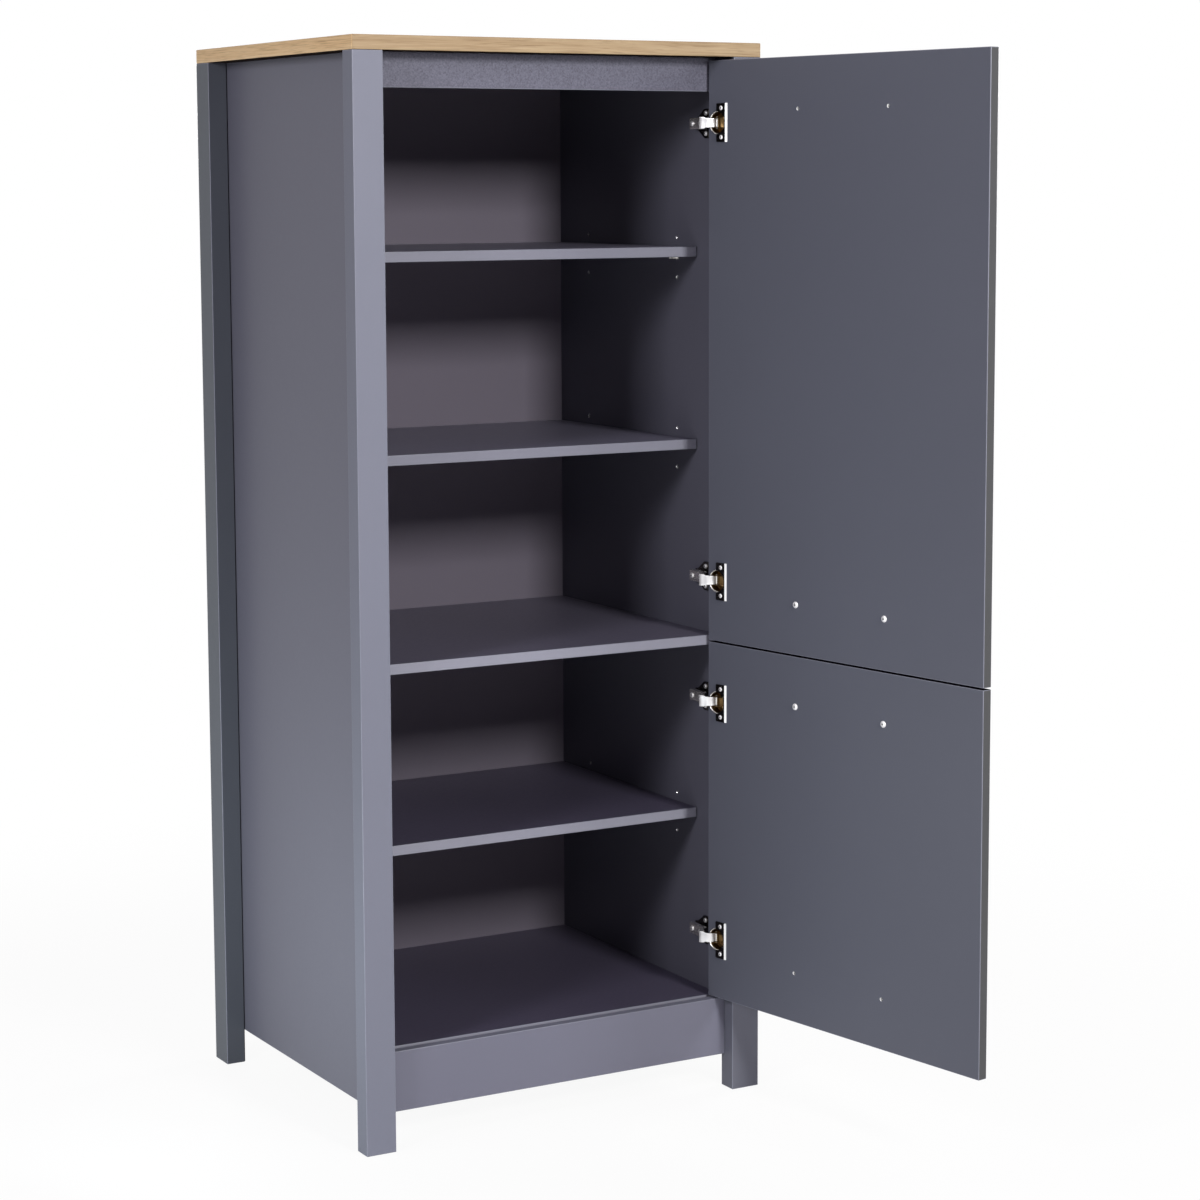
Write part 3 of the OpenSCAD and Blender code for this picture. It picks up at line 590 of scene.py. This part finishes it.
def makeBackPanel():
    bm = bmesh.new()
    blockBetween(bm, *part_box("back_panel"))
    roundEdges(bm, bm.edges[:], backPanel["arris"], 1)
    return finishPiece(bm, "backPanel", "carcass", [backLook, coreLook], "back_panel")


backBoard = makeBackPanel()

shelfHoles = {"radius": 2.6 * mm, "depth": 9.1 * mm, "pitch": 32 * mm}
pinBoxes = solidsOf("shelf_pins")
for side, inward in (("Left", 1), ("Right", -1)):
    holes = []
    for low, high in pinBoxes:
        middle = (low + high) / 2
        if (middle.x - middleX) * inward > 0:
            continue
        for step in (-1, 0, 1):
            mouth = (panelFaces[side], middle.y, middle.z + step * shelfHoles["pitch"])
            holes.append((mouth, (-inward, 0, 0), shelfHoles["radius"], shelfHoles["depth"]))
    drillHoles(carcassBoards["sidePanel" + side], holes, sleeveLook, "pinHoles" + side)

wallHoles = {"radius": 3 * mm, "apart": 400 * mm, "height": 1622 * mm, "past": 0.5 * mm}
for board, node in ((backBoard, "back_panel"), (carcassBoards["topRailRear"], "top_rail_rear")):
    low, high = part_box(node)
    depth = high.y - low.y + wallHoles["past"]
    mouths = [(middleX + s * wallHoles["apart"] / 2, low.y, wallHoles["height"]) for s in (-1, 1)]
    holes = [(mouth, (0, 1, 0), wallHoles["radius"], depth) for mouth in mouths]
    drillHoles(board, holes, coreLook, "wallHoles")
print("boards: done")


# Doors
door = {
    "cupRadius": 17.6 * mm, "cupDepth": 13.1 * mm,
    "cupRing": 18.5 * mm,  # from a hinge cup's middle to the outside of its rim
    "pilotRadius": 2.1 * mm, "pilotDepth": 9 * mm, "fromEnd": 78 * mm, "pitch": 192 * mm,
}


def makeDoor(level, handleLow):
    node = "door_" + level
    low, high = solidsOf(node, closed=True)[0]
    piece = makeBoard("door" + level.capitalize(), node, doorLook, doorEdgeLook, (low, high), node,
                      opened=True, edgeWay=(-1, 0, 0))
    holes = []
    for cupLow, cupHigh in solidsOf("hinge_cups_" + level, closed=True):
        centre = Vector((cupHigh.x - door["cupRing"], high.y, (cupLow.z + cupHigh.z) / 2))
        holes.append((centre, (0, -1, 0), door["cupRadius"], door["cupDepth"]))
    pilotZ = high.z - door["fromEnd"] if handleLow else low.z + door["fromEnd"]  # the end without a handle
    for s in (-1, 1):
        mouth = Vector(((low.x + high.x + s * door["pitch"]) / 2, high.y, pilotZ))
        holes.append((mouth, (0, -1, 0), door["pilotRadius"], door["pilotDepth"]))
    drillHoles(piece, holes, sleeveLook, "doorHoles", opened=True)


makeDoor("upper", True)
makeDoor("lower", False)
print("doors: done")


# Screws
screws = {  # CAD node: body, head direction, head radius and height, shank radius, length, finish
    "plate_screws": ("carcass", (-1, 0, 0), 3.8, 2.4, 2.0, 13, whiteZincLook),
    "arm_screws": ("carcass", (-1, 0, 0), 4.25, 2.2, 2.5, 8, whiteZincLook),
    "back_panel_screws": ("carcass", (0, 1, 0), 3.5, 1.8, 1.5, 20, zincLook),
    "cup_screws_upper": ("door_upper", (0, 1, 0), 3.7, 2.6, 1.75, 12, whiteHeadLook),
    "cup_screws_lower": ("door_lower", (0, 1, 0), 3.7, 2.6, 1.75, 12, whiteHeadLook),
    "handle_screws_upper": ("door_upper", (0, 1, 0), 5.2, 2.8, 2.0, 24, whiteHeadLook),
    "handle_screws_lower": ("door_lower", (0, 1, 0), 5.2, 2.8, 2.0, 24, whiteHeadLook),
}
screwShape = {
    "tip": [(0.0, 0.0), (0.35, 1.0), (1.0, 2.4)],  # shares of the shank's radius, out and up
    # shares of the head's radius and height
    "dome": [(1.0, 0.0), (1.0, 0.25), (0.95, 0.55), (0.8, 0.82), (0.5, 0.97), (0.0, 1.0)],
    "recessReach": 0.52, "recessHalf": 0.11,  # shares of the head's radius
    "recessFloor": 0.3, "recessTop": 1.4,  # shares of its height
    "recessTaper": 0.55,
    "steps": 32,
}


def screwMesh(name, radius, height, shank, length, look):
    bm = bmesh.new()
    tip = [(shank * out, shank * up - length) for out, up in screwShape["tip"]]
    dome = [(radius * out, height * up) for out, up in screwShape["dome"]]
    spinProfile(bm, tip + [(shank, 0)] + dome, screwShape["steps"])
    markSharp(bm, 50)
    screw = objectFrom(bm, name, [look, nickelPaintedDarkLook])
    reach, half = screwShape["recessReach"] * radius, screwShape["recessHalf"] * radius
    for turn in (0, math.pi / 2):  # the two arms of a cross recess, narrower at its floor
        recess = bmesh.new()
        blade = blockBetween(recess, (-reach, -half, screwShape["recessFloor"] * height),
                             (reach, half, screwShape["recessTop"] * height))
        for v in blade:
            if v.co.z < height:
                v.co.x *= screwShape["recessTaper"]
        bmesh.ops.rotate(recess, verts=blade, cent=(0, 0, 0), matrix=Matrix.Rotation(turn, 3, "Z"))
        # painted shade: the recess keeps the cutter's dark nickel
        cutWith(screw, objectFrom(recess, name + "Recess", [nickelPaintedDarkLook]))
    made = screw.data
    bpy.data.objects.remove(screw)
    return made


def headPlaces(node, direction, height, closed):  # where each head of a CAD screw node sits
    places = []
    for low, high in solidsOf(node, closed):
        seat = (low + high) / 2
        for i in range(3):
            if direction[i] > 0:
                seat[i] = high[i] - height
            elif direction[i] < 0:
                seat[i] = low[i] + height
        places.append(Matrix.Translation(seat) @ facing(direction))
    return places


for node, (body, direction, radius, height, shank, length, look) in screws.items():
    mesh = screwMesh(node + "Mesh", radius * mm, height * mm, shank * mm, length * mm, look)
    onDoor = body != "carcass"
    bm = bmesh.new()
    placeCopies(bm, mesh, headPlaces(node, direction, height * mm, onDoor))
    first, *others = node.split("_")
    finishPiece(bm, first + "".join(word.capitalize() for word in others), body, [look, nickelPaintedDarkLook], node,
                opened=onDoor)
print("screws: done")


# Shelf pins
shelfPin = {"radius": 2.5 * mm, "collar": 4.5 * mm, "collarThick": 0.8 * mm, "bevel": 0.3 * mm,
            "out": 15 * mm, "in": 9 * mm, "steps": 24}


def makeShelfPins():
    master = bmesh.new()
    r, c, t, bevel = shelfPin["radius"], shelfPin["collar"], shelfPin["collarThick"], shelfPin["bevel"]
    tipOut, tipIn = shelfPin["out"], -shelfPin["in"]
    pushedIn = [(0, tipIn), (r * 0.7, tipIn), (r, tipIn + 0.8 * mm), (r, 0)]
    collar = [(c, 0), (c, t * 0.6), (c - bevel, t), (r + bevel, t), (r, t + bevel)]
    standingOut = [(r, tipOut - 1.2 * mm), (r * 0.85, tipOut - 0.4 * mm), (r * 0.5, tipOut), (0, tipOut)]
    spinProfile(master, pushedIn + collar + standingOut, shelfPin["steps"])
    markSharp(master, 50)
    mesh = meshFrom(master, "shelfPinMesh")
    bm = bmesh.new()
    for low, high in pinBoxes:
        middle = (low + high) / 2
        side, inward = ("Left", 1) if middle.x < middleX else ("Right", -1)
        seat = Matrix.Translation((panelFaces[side], middle.y, middle.z))
        placeCopies(bm, mesh, [seat @ facing((inward, 0, 0))])
    finishPiece(bm, "shelfPins", "carcass", [nickelLook], "shelf_pins")


makeShelfPins()
print("shelf pins: done")


# Hinges, in mm
cup = {"radius": 17.5, "wall": 1.0, "depth": 13.0, "lip": 0.9, "steps": 56,
       # the two cheeks beside the arm: thickness, half the gap between them, and how far each reaches
       "cheek": 1.3, "cheekIn": 7.35, "cheekBack": 11.5, "cheekFront": 14.3, "cheekTop": 3.2,
       "cheekCorner": 4.5}
flange = {"tall": 59.6, "wide": 22.6, "thick": 1.5, "lift": 0.02, "near": 1.5, "corner": 2.0,
          "fold": 3.4, "foldHigh": 1.9, "foldLow": 0.25,
          "mouth": 0.6, "mouthDeep": 20.0}  # the round hole for the cup, wider than its inner wall by mouth
cupLooks = [nickelPaintedDarkLook, nickelLook, whiteZincLook, brassLook]


def hingeFlange():  # a flat plate with a fold that slopes down along its far edge
    bm = bmesh.new()
    tall, wide, lift = flange["tall"] * mm / 2, flange["wide"] * mm, flange["lift"] * mm
    foldAt = -wide + flange["fold"] * mm
    flat = blockBetween(bm, (foldAt, -tall, lift), (flange["near"] * mm, tall, flange["thick"] * mm))
    near = [e for e in edgesOf(flat) if abs(e.verts[0].co.z - e.verts[1].co.z) > 1 * mm
            and e.verts[0].co.x > 0]
    roundEdges(bm, near, flange["corner"] * mm, 5)
    fold = blockBetween(bm, (-wide, -tall, lift), (foldAt, tall, flange["foldHigh"] * mm))
    for v in fold:
        if v.co.x < foldAt - 1 * mm and v.co.z > 1 * mm:
            v.co.z = flange["foldLow"] * mm
    for face in {f for v in fold for f in v.link_faces}:
        face.material_index = 2
    return bm


def hingeCup():  # one cup with z out of the door and x towards the hinge edge, its centre at 0
    bm = bmesh.new()
    bottom, floor = -cup["depth"] * mm, (cup["wall"] - cup["depth"]) * mm
    outer, inner = cup["radius"] * mm, (cup["radius"] - cup["wall"]) * mm
    lip, ring = cup["lip"] * mm, door["cupRing"]
    inside = [(0, floor), (inner - 2.5 * mm, floor), (inner - 0.8 * mm, floor + 0.7 * mm),
              (inner, floor + 2.5 * mm), (inner, -0.4 * mm)]
    rim = [(inner + 0.5 * mm, lip * 0.8), (inner + 1.1 * mm, lip + 0.25 * mm), (ring - 0.3 * mm, lip),
           (ring, lip * 0.5), (ring, 0)]
    outside = [(outer, 0), (outer, bottom + 1.0 * mm), (outer - 1.0 * mm, bottom), (0, bottom)]
    spinProfile(bm, inside + rim + outside, cup["steps"])
    for side in (-1, 1):
        middle, half = side * (cup["cheekIn"] + cup["cheek"] / 2) * mm, cup["cheek"] * mm / 2
        cheek = blockBetween(bm, (-cup["cheekBack"] * mm, middle - half, floor),
                             (cup["cheekFront"] * mm, middle + half, -cup["cheekTop"] * mm))
        corners = [e for e in edgesOf(cheek) if abs((e.verts[0].co - e.verts[1].co).normalized().y) > 0.9
                   and e.verts[0].co.z > floor / 2]
        roundEdges(bm, corners, cup["cheekCorner"] * mm, 5)
    mouth = bmesh.new()
    mouthRadius = inner + flange["mouth"] * mm
    bmesh.ops.create_cone(mouth, cap_ends=True, segments=cup["steps"], radius1=mouthRadius,
                          radius2=mouthRadius, depth=flange["mouthDeep"] * mm)
    # painted reflection and shade: the flange plate is the dark nickel, and its mouth keeps it from the cutter
    flangePart = objectFrom(hingeFlange(), "hingeFlange", cupLooks)
    cutWith(flangePart, objectFrom(mouth, "hingeMouth", [nickelPaintedDarkLook]))
    for face in bm.faces:
        middle = face.calc_center_median()
        inCup = math.hypot(middle.x, middle.y) < inner - 0.2 * mm or middle.z < -0.6 * mm
        face.material_index = 3 if inCup else 1
    bm.from_mesh(flangePart.data)
    bpy.data.objects.remove(flangePart)
    markSharp(bm, 40)
    return meshFrom(bm, "hingeCupMesh")


cupMesh = hingeCup()


def makeHingeCups(level):
    bm = bmesh.new()
    face = solidsOf("door_" + level, closed=True)[0][1].y
    places = []
    for low, high in solidsOf("hinge_cups_" + level, closed=True):
        centre = Vector((high.x - door["cupRing"], face, (low.z + high.z) / 2))
        places.append(Matrix.Translation(centre) @ Matrix.Rotation(-math.pi / 2, 4, "X"))
    placeCopies(bm, cupMesh, places)
    finishPiece(bm, "hingeCups" + level.capitalize(), "door_" + level, cupLooks, "hinge_cups_" + level,
                opened=True)


neck = {"half": 6.7, "sheet": 1.1,
        # y in the part's frame, distance out from the side panel and flare, from the arm to the pin
        "path": [(30.5, 33.3, 1.36), (28.5, 32.6, 1.36), (26.0, 31.0, 1.34), (23.5, 29.3, 1.3),
                 (21.0, 27.7, 1.09), (18.2, 26.2, 1.09), (16.0, 24.4, 1.07), (14.6, 22.0, 1.05),
                 (14.0, 19.0, 1.03), (13.6, 16.0, 1.0), (13.3, 13.2, 1.0)],
        # share of the half width and lift, from a lip to the flat
        "section": [(1.0, 1.5), (0.985, 0.5), (0.93, 0.1), (0.85, 0.0)]}


def hingeNeck(bm, panelFace, height):  # a channel with its lips turned outwards
    points = [Vector((panelFace / mm - out, y)) for y, out, flare in neck["path"]]
    wides = [neck["half"] * flare for y, out, flare in neck["path"]]
    normals = []
    for i in range(len(points)):
        along = (points[min(i + 1, len(points) - 1)] - points[max(i - 1, 0)]).normalized()
        normals.append(Vector((along.y, -along.x)))

    def rowPlaces(share, lift):
        ats = [point + normal * lift for point, normal in zip(points, normals)]
        return [Vector((at.x * mm, at.y * mm, height + wide * share * mm)) for at, wide in zip(ats, wides)]

    nearLip = [(-share, lift) for share, lift in neck["section"]]
    farLip = list(reversed(neck["section"]))
    row = rowThrough(bm, rowPlaces(*nearLip[0]))
    sheet = []
    for share, lift in nearLip[1:] + farLip:
        row, faces = pullRow(bm, row)
        for v, at in zip(row, rowPlaces(share, lift)):
            v.co = at
        sheet += faces
    for face in sheet:
        face.material_index = 1
    bmesh.ops.recalc_face_normals(bm, faces=sheet)
    bmesh.ops.solidify(bm, geom=sheet, thickness=neck["sheet"] * mm)


arm = {"half": 9.0, "nose": 28.5, "sheet": 1.6,
       # distance out from the side panel and inset from the channel's edge, from a rim to the flat
       "section": [(25.6, 0.0), (31.2, 0.0), (32.2, 0.4), (32.6, 1.4)],
       # moves of that section, from the nose to the arm's back end
       "steps": [(0.6, 2.0, 0), (3.0, 7.0, 0), (0.7, 2.0, 0), (10.6, 6.4, 0), (0.7, 1.6, 0), (0, 12, 0),
                 (0, 28, 0)]}
eye = {"radius": 2.6, "pinRadius": 1.25, "half": 6.75, "steps": 32}


def hingeArm(bm, panelFace, height):
    nearRim = [(out, inset - arm["half"]) for out, inset in arm["section"]]
    farRim = [(out, arm["half"] - inset) for out, inset in reversed(arm["section"])]
    row = rowThrough(bm, [(panelFace - out * mm, arm["nose"] * mm, height + z * mm)
                          for out, z in nearRim + farRim])
    channel = []
    for step in arm["steps"]:
        row, faces = pullRow(bm, row)
        bmesh.ops.translate(bm, verts=row, vec=Vector(step) * mm)
        channel += faces
    bmesh.ops.recalc_face_normals(bm, faces=channel)
    bmesh.ops.solidify(bm, geom=channel, thickness=arm["sheet"] * mm)
    hingeNeck(bm, panelFace, height)
    pin, outer, half = eye["pinRadius"] * mm, eye["radius"] * mm, eye["half"] * mm
    wall = [(pin, -half), (outer, -half), (outer, half), (pin, half), (pin, -half)]
    tube = spinProfile(bm, wall, eye["steps"])
    bmesh.ops.translate(bm, verts=tube, vec=(hingeLine.x, hingeLine.y, height))
    for face in {f for v in tube for f in v.link_faces}:
        face.smooth = abs(face.normal.z) < 0.5


def makeHingeArms():
    bm = bmesh.new()
    for low, high in solidsOf("hinge_arms"):
        hingeArm(bm, panelFaces["Right"], (low.z + high.z) / 2)
    markSharp(bm, 40)
    finishPiece(bm, "hingeArms", "carcass", [nickelLook, whiteZincLook], "hinge_arms")


plate = {"thick": 3.5, "bevel": 0.5,
         "outline": [(53, 14), (53, 21), (55, 23), (66, 23), (68, 21.5), (84, 10), (88, 9.5), (92, 9)],
         "bossFrom": 50, "bossTo": 84, "bossWide": 11.0, "bossHigh": 15.0, "bossSunk": 0.5, "bossBevel": 0.8}


def makeHingePlates():
    bm = bmesh.new()
    face = panelFaces["Right"]
    bossHalf = plate["bossWide"] * mm / 2
    for low, high in solidsOf("hinge_plates"):
        height = (low.z + high.z) / 2
        outline = plate["outline"] + [(y, -z) for y, z in reversed(plate["outline"])]
        rim = [bm.verts.new((face, y * mm, height + z * mm)) for y, z in outline]
        made = bmesh.ops.extrude_face_region(bm, geom=[bm.faces.new(rim)])["geom"]
        bmesh.ops.translate(bm, verts=[g for g in made if isinstance(g, bmesh.types.BMVert)],
                            vec=(-plate["thick"] * mm, 0, 0))
        island = list(connected(rim[0]))
        bmesh.ops.recalc_face_normals(bm, faces=list({f for v in island for f in v.link_faces}))
        corners = [e for e in edgesOf(island) if e.calc_face_angle(0) > 0.6]
        roundEdges(bm, corners, plate["bevel"] * mm)
        boss = blockBetween(bm, (face - plate["bossHigh"] * mm, plate["bossFrom"] * mm, height - bossHalf),
                            (face - plate["bossSunk"] * mm, plate["bossTo"] * mm, height + bossHalf))
        roundEdges(bm, edgesOf(boss), plate["bossBevel"] * mm)
    markSharp(bm, 40)
    # painted reflection: the mounting plates are the dark nickel
    finishPiece(bm, "hingePlates", "carcass", [nickelPaintedDarkLook], "hinge_plates")


for level in ("upper", "lower"):
    makeHingeCups(level)
makeHingeArms()
makeHingePlates()
print("hinges: done")


# Handles on the outer faces, in mm
handle = {
    "radius": 6.0,
    "tip": [(0.0, 0.0), (0.8, 0.0), (0.95, 0.4), (1.0, 1.2)],  # share of the radius, distance from the end
    "post": 4.0, "foot": 6.5, "footThick": 1.6,
    "barSteps": 40, "postSteps": 32,
}


def makeHandle(level):
    bm = bmesh.new()
    low, high = solidsOf("handle_bar_" + level, closed=True)[0]
    length, r = high.x - low.x, handle["radius"] * mm
    tip = [(r * share, along * mm) for share, along in handle["tip"]]
    otherTip = [(radius, length - along) for radius, along in reversed(tip)]
    bar = spinProfile(bm, tip + otherTip, handle["barSteps"])
    centre = (low + high) / 2
    lay = Matrix.Translation((low.x, centre.y, centre.z)) @ Matrix.Rotation(math.pi / 2, 4, "Y")
    bmesh.ops.transform(bm, matrix=lay, verts=bar)
    markSharp(bm, 50)
    finishPiece(bm, "handleBar" + level.capitalize(), "door_" + level, [satinLook], "handle_bar_" + level,
                opened=True)
    bm = bmesh.new()
    p, foot, thick = handle["post"] * mm, handle["foot"] * mm, handle["footThick"] * mm
    for postLow, postHigh in solidsOf("handle_posts_" + level, closed=True):
        reach = postHigh.y - postLow.y
        profile = [(0, 0), (foot, 0), (foot, thick * 0.6), (foot - 0.6 * mm, thick),
                   (p + 0.9 * mm, thick + 0.3 * mm), (p, thick + 1.4 * mm), (p, reach), (0, reach)]
        post = spinProfile(bm, profile, handle["postSteps"])
        middle = (postLow + postHigh) / 2
        lay = Matrix.Translation((middle.x, postHigh.y, middle.z)) @ Matrix.Rotation(math.pi / 2, 4, "X")
        bmesh.ops.transform(bm, matrix=lay, verts=post)
    markSharp(bm, 50)
    finishPiece(bm, "handlePosts" + level.capitalize(), "door_" + level, [satinLook], "handle_posts_" + level,
                opened=True)


for level in ("upper", "lower"):
    makeHandle(level)
print("handles: done")


# Finishes of the fittings kept as CAD made them
keptLooks = {"dowels": beechLook, "cam_locks": zincLook, "cam_bolts": zincLook, "leg_screws": zincLook,
             "angle_brackets": zincLook, "bracket_screws": zincLook, "hinge_pins_upper": satinLook,
             "hinge_pins_lower": satinLook}
for node, look in keptLooks.items():
    mesh = frame["nodes"][node].data
    mesh.materials.clear()
    mesh.materials.append(look)
print("kept fittings: done")


# Floor, light and camera
cabinetHeart = (0.3255, 0.15, 0.83)  # where most of the lamps point
studio = {
    "floorSize": 14.0,
    "floorColour": (238, 238, 238),
    "floorWhite": 0.93,  # how much of the floor near the cabinet shows plain white
    "fade": (1.0, 2.4),  # where that starts to turn whiter, and where it is all white
    "centre": (0.35, 0.1, 0.0),  # where those distances start
    "skyColour": (255, 228, 240),
    "skyStrength": 0.1,
    "lamps": {  # name: position, where it points, size, watts, colour
        "keyLamp": ((0.644, -4.406, 2.864), cabinetHeart, (0.8, 0.8), 160.0, (255, 253, 250)),
        "fillLamp": ((2.593, -4.114, 2.124), cabinetHeart, (0.9, 0.9), 48.0, (250, 250, 255)),
        "leftLamp": ((-2.655, -1.177, 2.351), cabinetHeart, (0.6, 0.8), 44.0, (250, 247, 255)),
        "rightLamp": ((4.6, 1.0, 2.1), (0.66, 0.2, 0.83), (1.2, 1.2), 90.0, (255, 253, 250)),
        "backLamp": ((1.3, 5.1, 2.2), (0.33, 0.57, 0.83), (1.2, 1.2), 90.0, (250, 251, 255)),
        "floorBounce": ((-1.2, 0.15, 0.15), (0.0, 0.15, 0.35), (0.8, 0.3), 5.0, (244, 250, 255)),
        "lowGlow": ((-0.5, 0.05, 0.3), (0.0085, 0.24, 0.3), (0.3, 0.14), 1.25, (240, 252, 252)),
    },
}


def makeFloor():
    bm = bmesh.new()
    bmesh.ops.create_grid(bm, x_segments=1, y_segments=1, size=studio["floorSize"])
    look = bpy.data.materials.new("paleFloor")
    look.use_nodes = True
    tree = look.node_tree
    tree.nodes.clear()
    wire = Wire(tree, None)
    diffuse = wire.add("ShaderNodeBsdfDiffuse", {}, {"Color": linear(studio["floorColour"])})
    glow = wire.add("ShaderNodeEmission", {}, {"Color": (1, 1, 1, 1), "Strength": 1.0})
    place = wire.add("ShaderNodeTexCoord", out="Object")
    away = place.vectors("DISTANCE", {0: place, 1: studio["centre"]}, out="Value")
    white = place.add("ShaderNodeMapRange", {"interpolation_type": "SMOOTHSTEP"}, {
        "Value": away, "From Min": studio["fade"][0], "From Max": studio["fade"][1],
        "To Min": studio["floorWhite"], "To Max": 1.0})
    share = wire.maths("MAXIMUM", wire.rays("Is Camera Ray") * white, wire.rays("Is Glossy Ray"))
    mixed = wire.add("ShaderNodeMixShader", {}, {0: share, 1: diffuse, 2: glow})
    output = tree.nodes.new("ShaderNodeOutputMaterial")
    tree.links.new(mixed.socket, output.inputs["Surface"])
    objectFrom(bm, "floor", [look])


def makeSky():
    sky = bpy.data.worlds.new("studio")
    scene.world = sky
    sky.use_nodes = True
    tree = sky.node_tree
    tree.nodes.clear()
    wire = Wire(tree, None)
    light = wire.add("ShaderNodeBackground", {}, {"Color": linear(studio["skyColour"]),
                                                  "Strength": studio["skyStrength"]})
    white = wire.add("ShaderNodeBackground", {}, {"Color": (1, 1, 1, 1), "Strength": 1.0})
    seen = wire.maths("MAXIMUM", wire.rays("Is Camera Ray"), wire.rays("Is Glossy Ray"))
    share = wire.maths("MAXIMUM", seen, wire.rays("Is Transmission Ray"))
    mixed = wire.add("ShaderNodeMixShader", {}, {0: share, 1: light, 2: white})
    output = tree.nodes.new("ShaderNodeOutputWorld")
    tree.links.new(mixed.socket, output.inputs["Surface"])


def makeLamps():
    for name, (at, aim, size, watts, colour) in studio["lamps"].items():
        lamp = bpy.data.lights.new(name, "AREA")
        lamp.shape, lamp.size, lamp.size_y = "RECTANGLE", size[0], size[1]
        lamp.energy, lamp.color = watts, linear(colour)[:3]
        holder = bpy.data.objects.new(name, lamp)
        holder.location = at
        holder.rotation_euler = (Vector(aim) - Vector(at)).to_track_quat("-Z", "Y").to_euler()
        holder.visible_camera = False
        scene.collection.objects.link(holder)


camera = {"at": (-1.8405, -3.8925, 1.462), "yaw": 29.85, "pitch": 6.92, "roll": -0.22, "lens": 87.87,
          "sensor": 36.0, "shift": -0.055, "farthest": 60}


def makeCamera():
    data = bpy.data.cameras.new("camera")
    data.lens, data.sensor_width, data.shift_y = camera["lens"], camera["sensor"], camera["shift"]
    data.clip_end = camera["farthest"]
    holder = bpy.data.objects.new("camera", data)
    turn = (Matrix.Rotation(math.radians(-camera["yaw"]), 4, "Z")
            @ Matrix.Rotation(math.radians(90 - camera["pitch"]), 4, "X")
            @ Matrix.Rotation(math.radians(camera["roll"]), 4, "Z"))
    holder.matrix_world = Matrix.Translation(camera["at"]) @ turn
    scene.collection.objects.link(holder)
    scene.camera = holder


makeFloor()
makeSky()
makeLamps()
makeCamera()
scene.view_settings.view_transform = "Standard"
print("floor, light and camera: done")
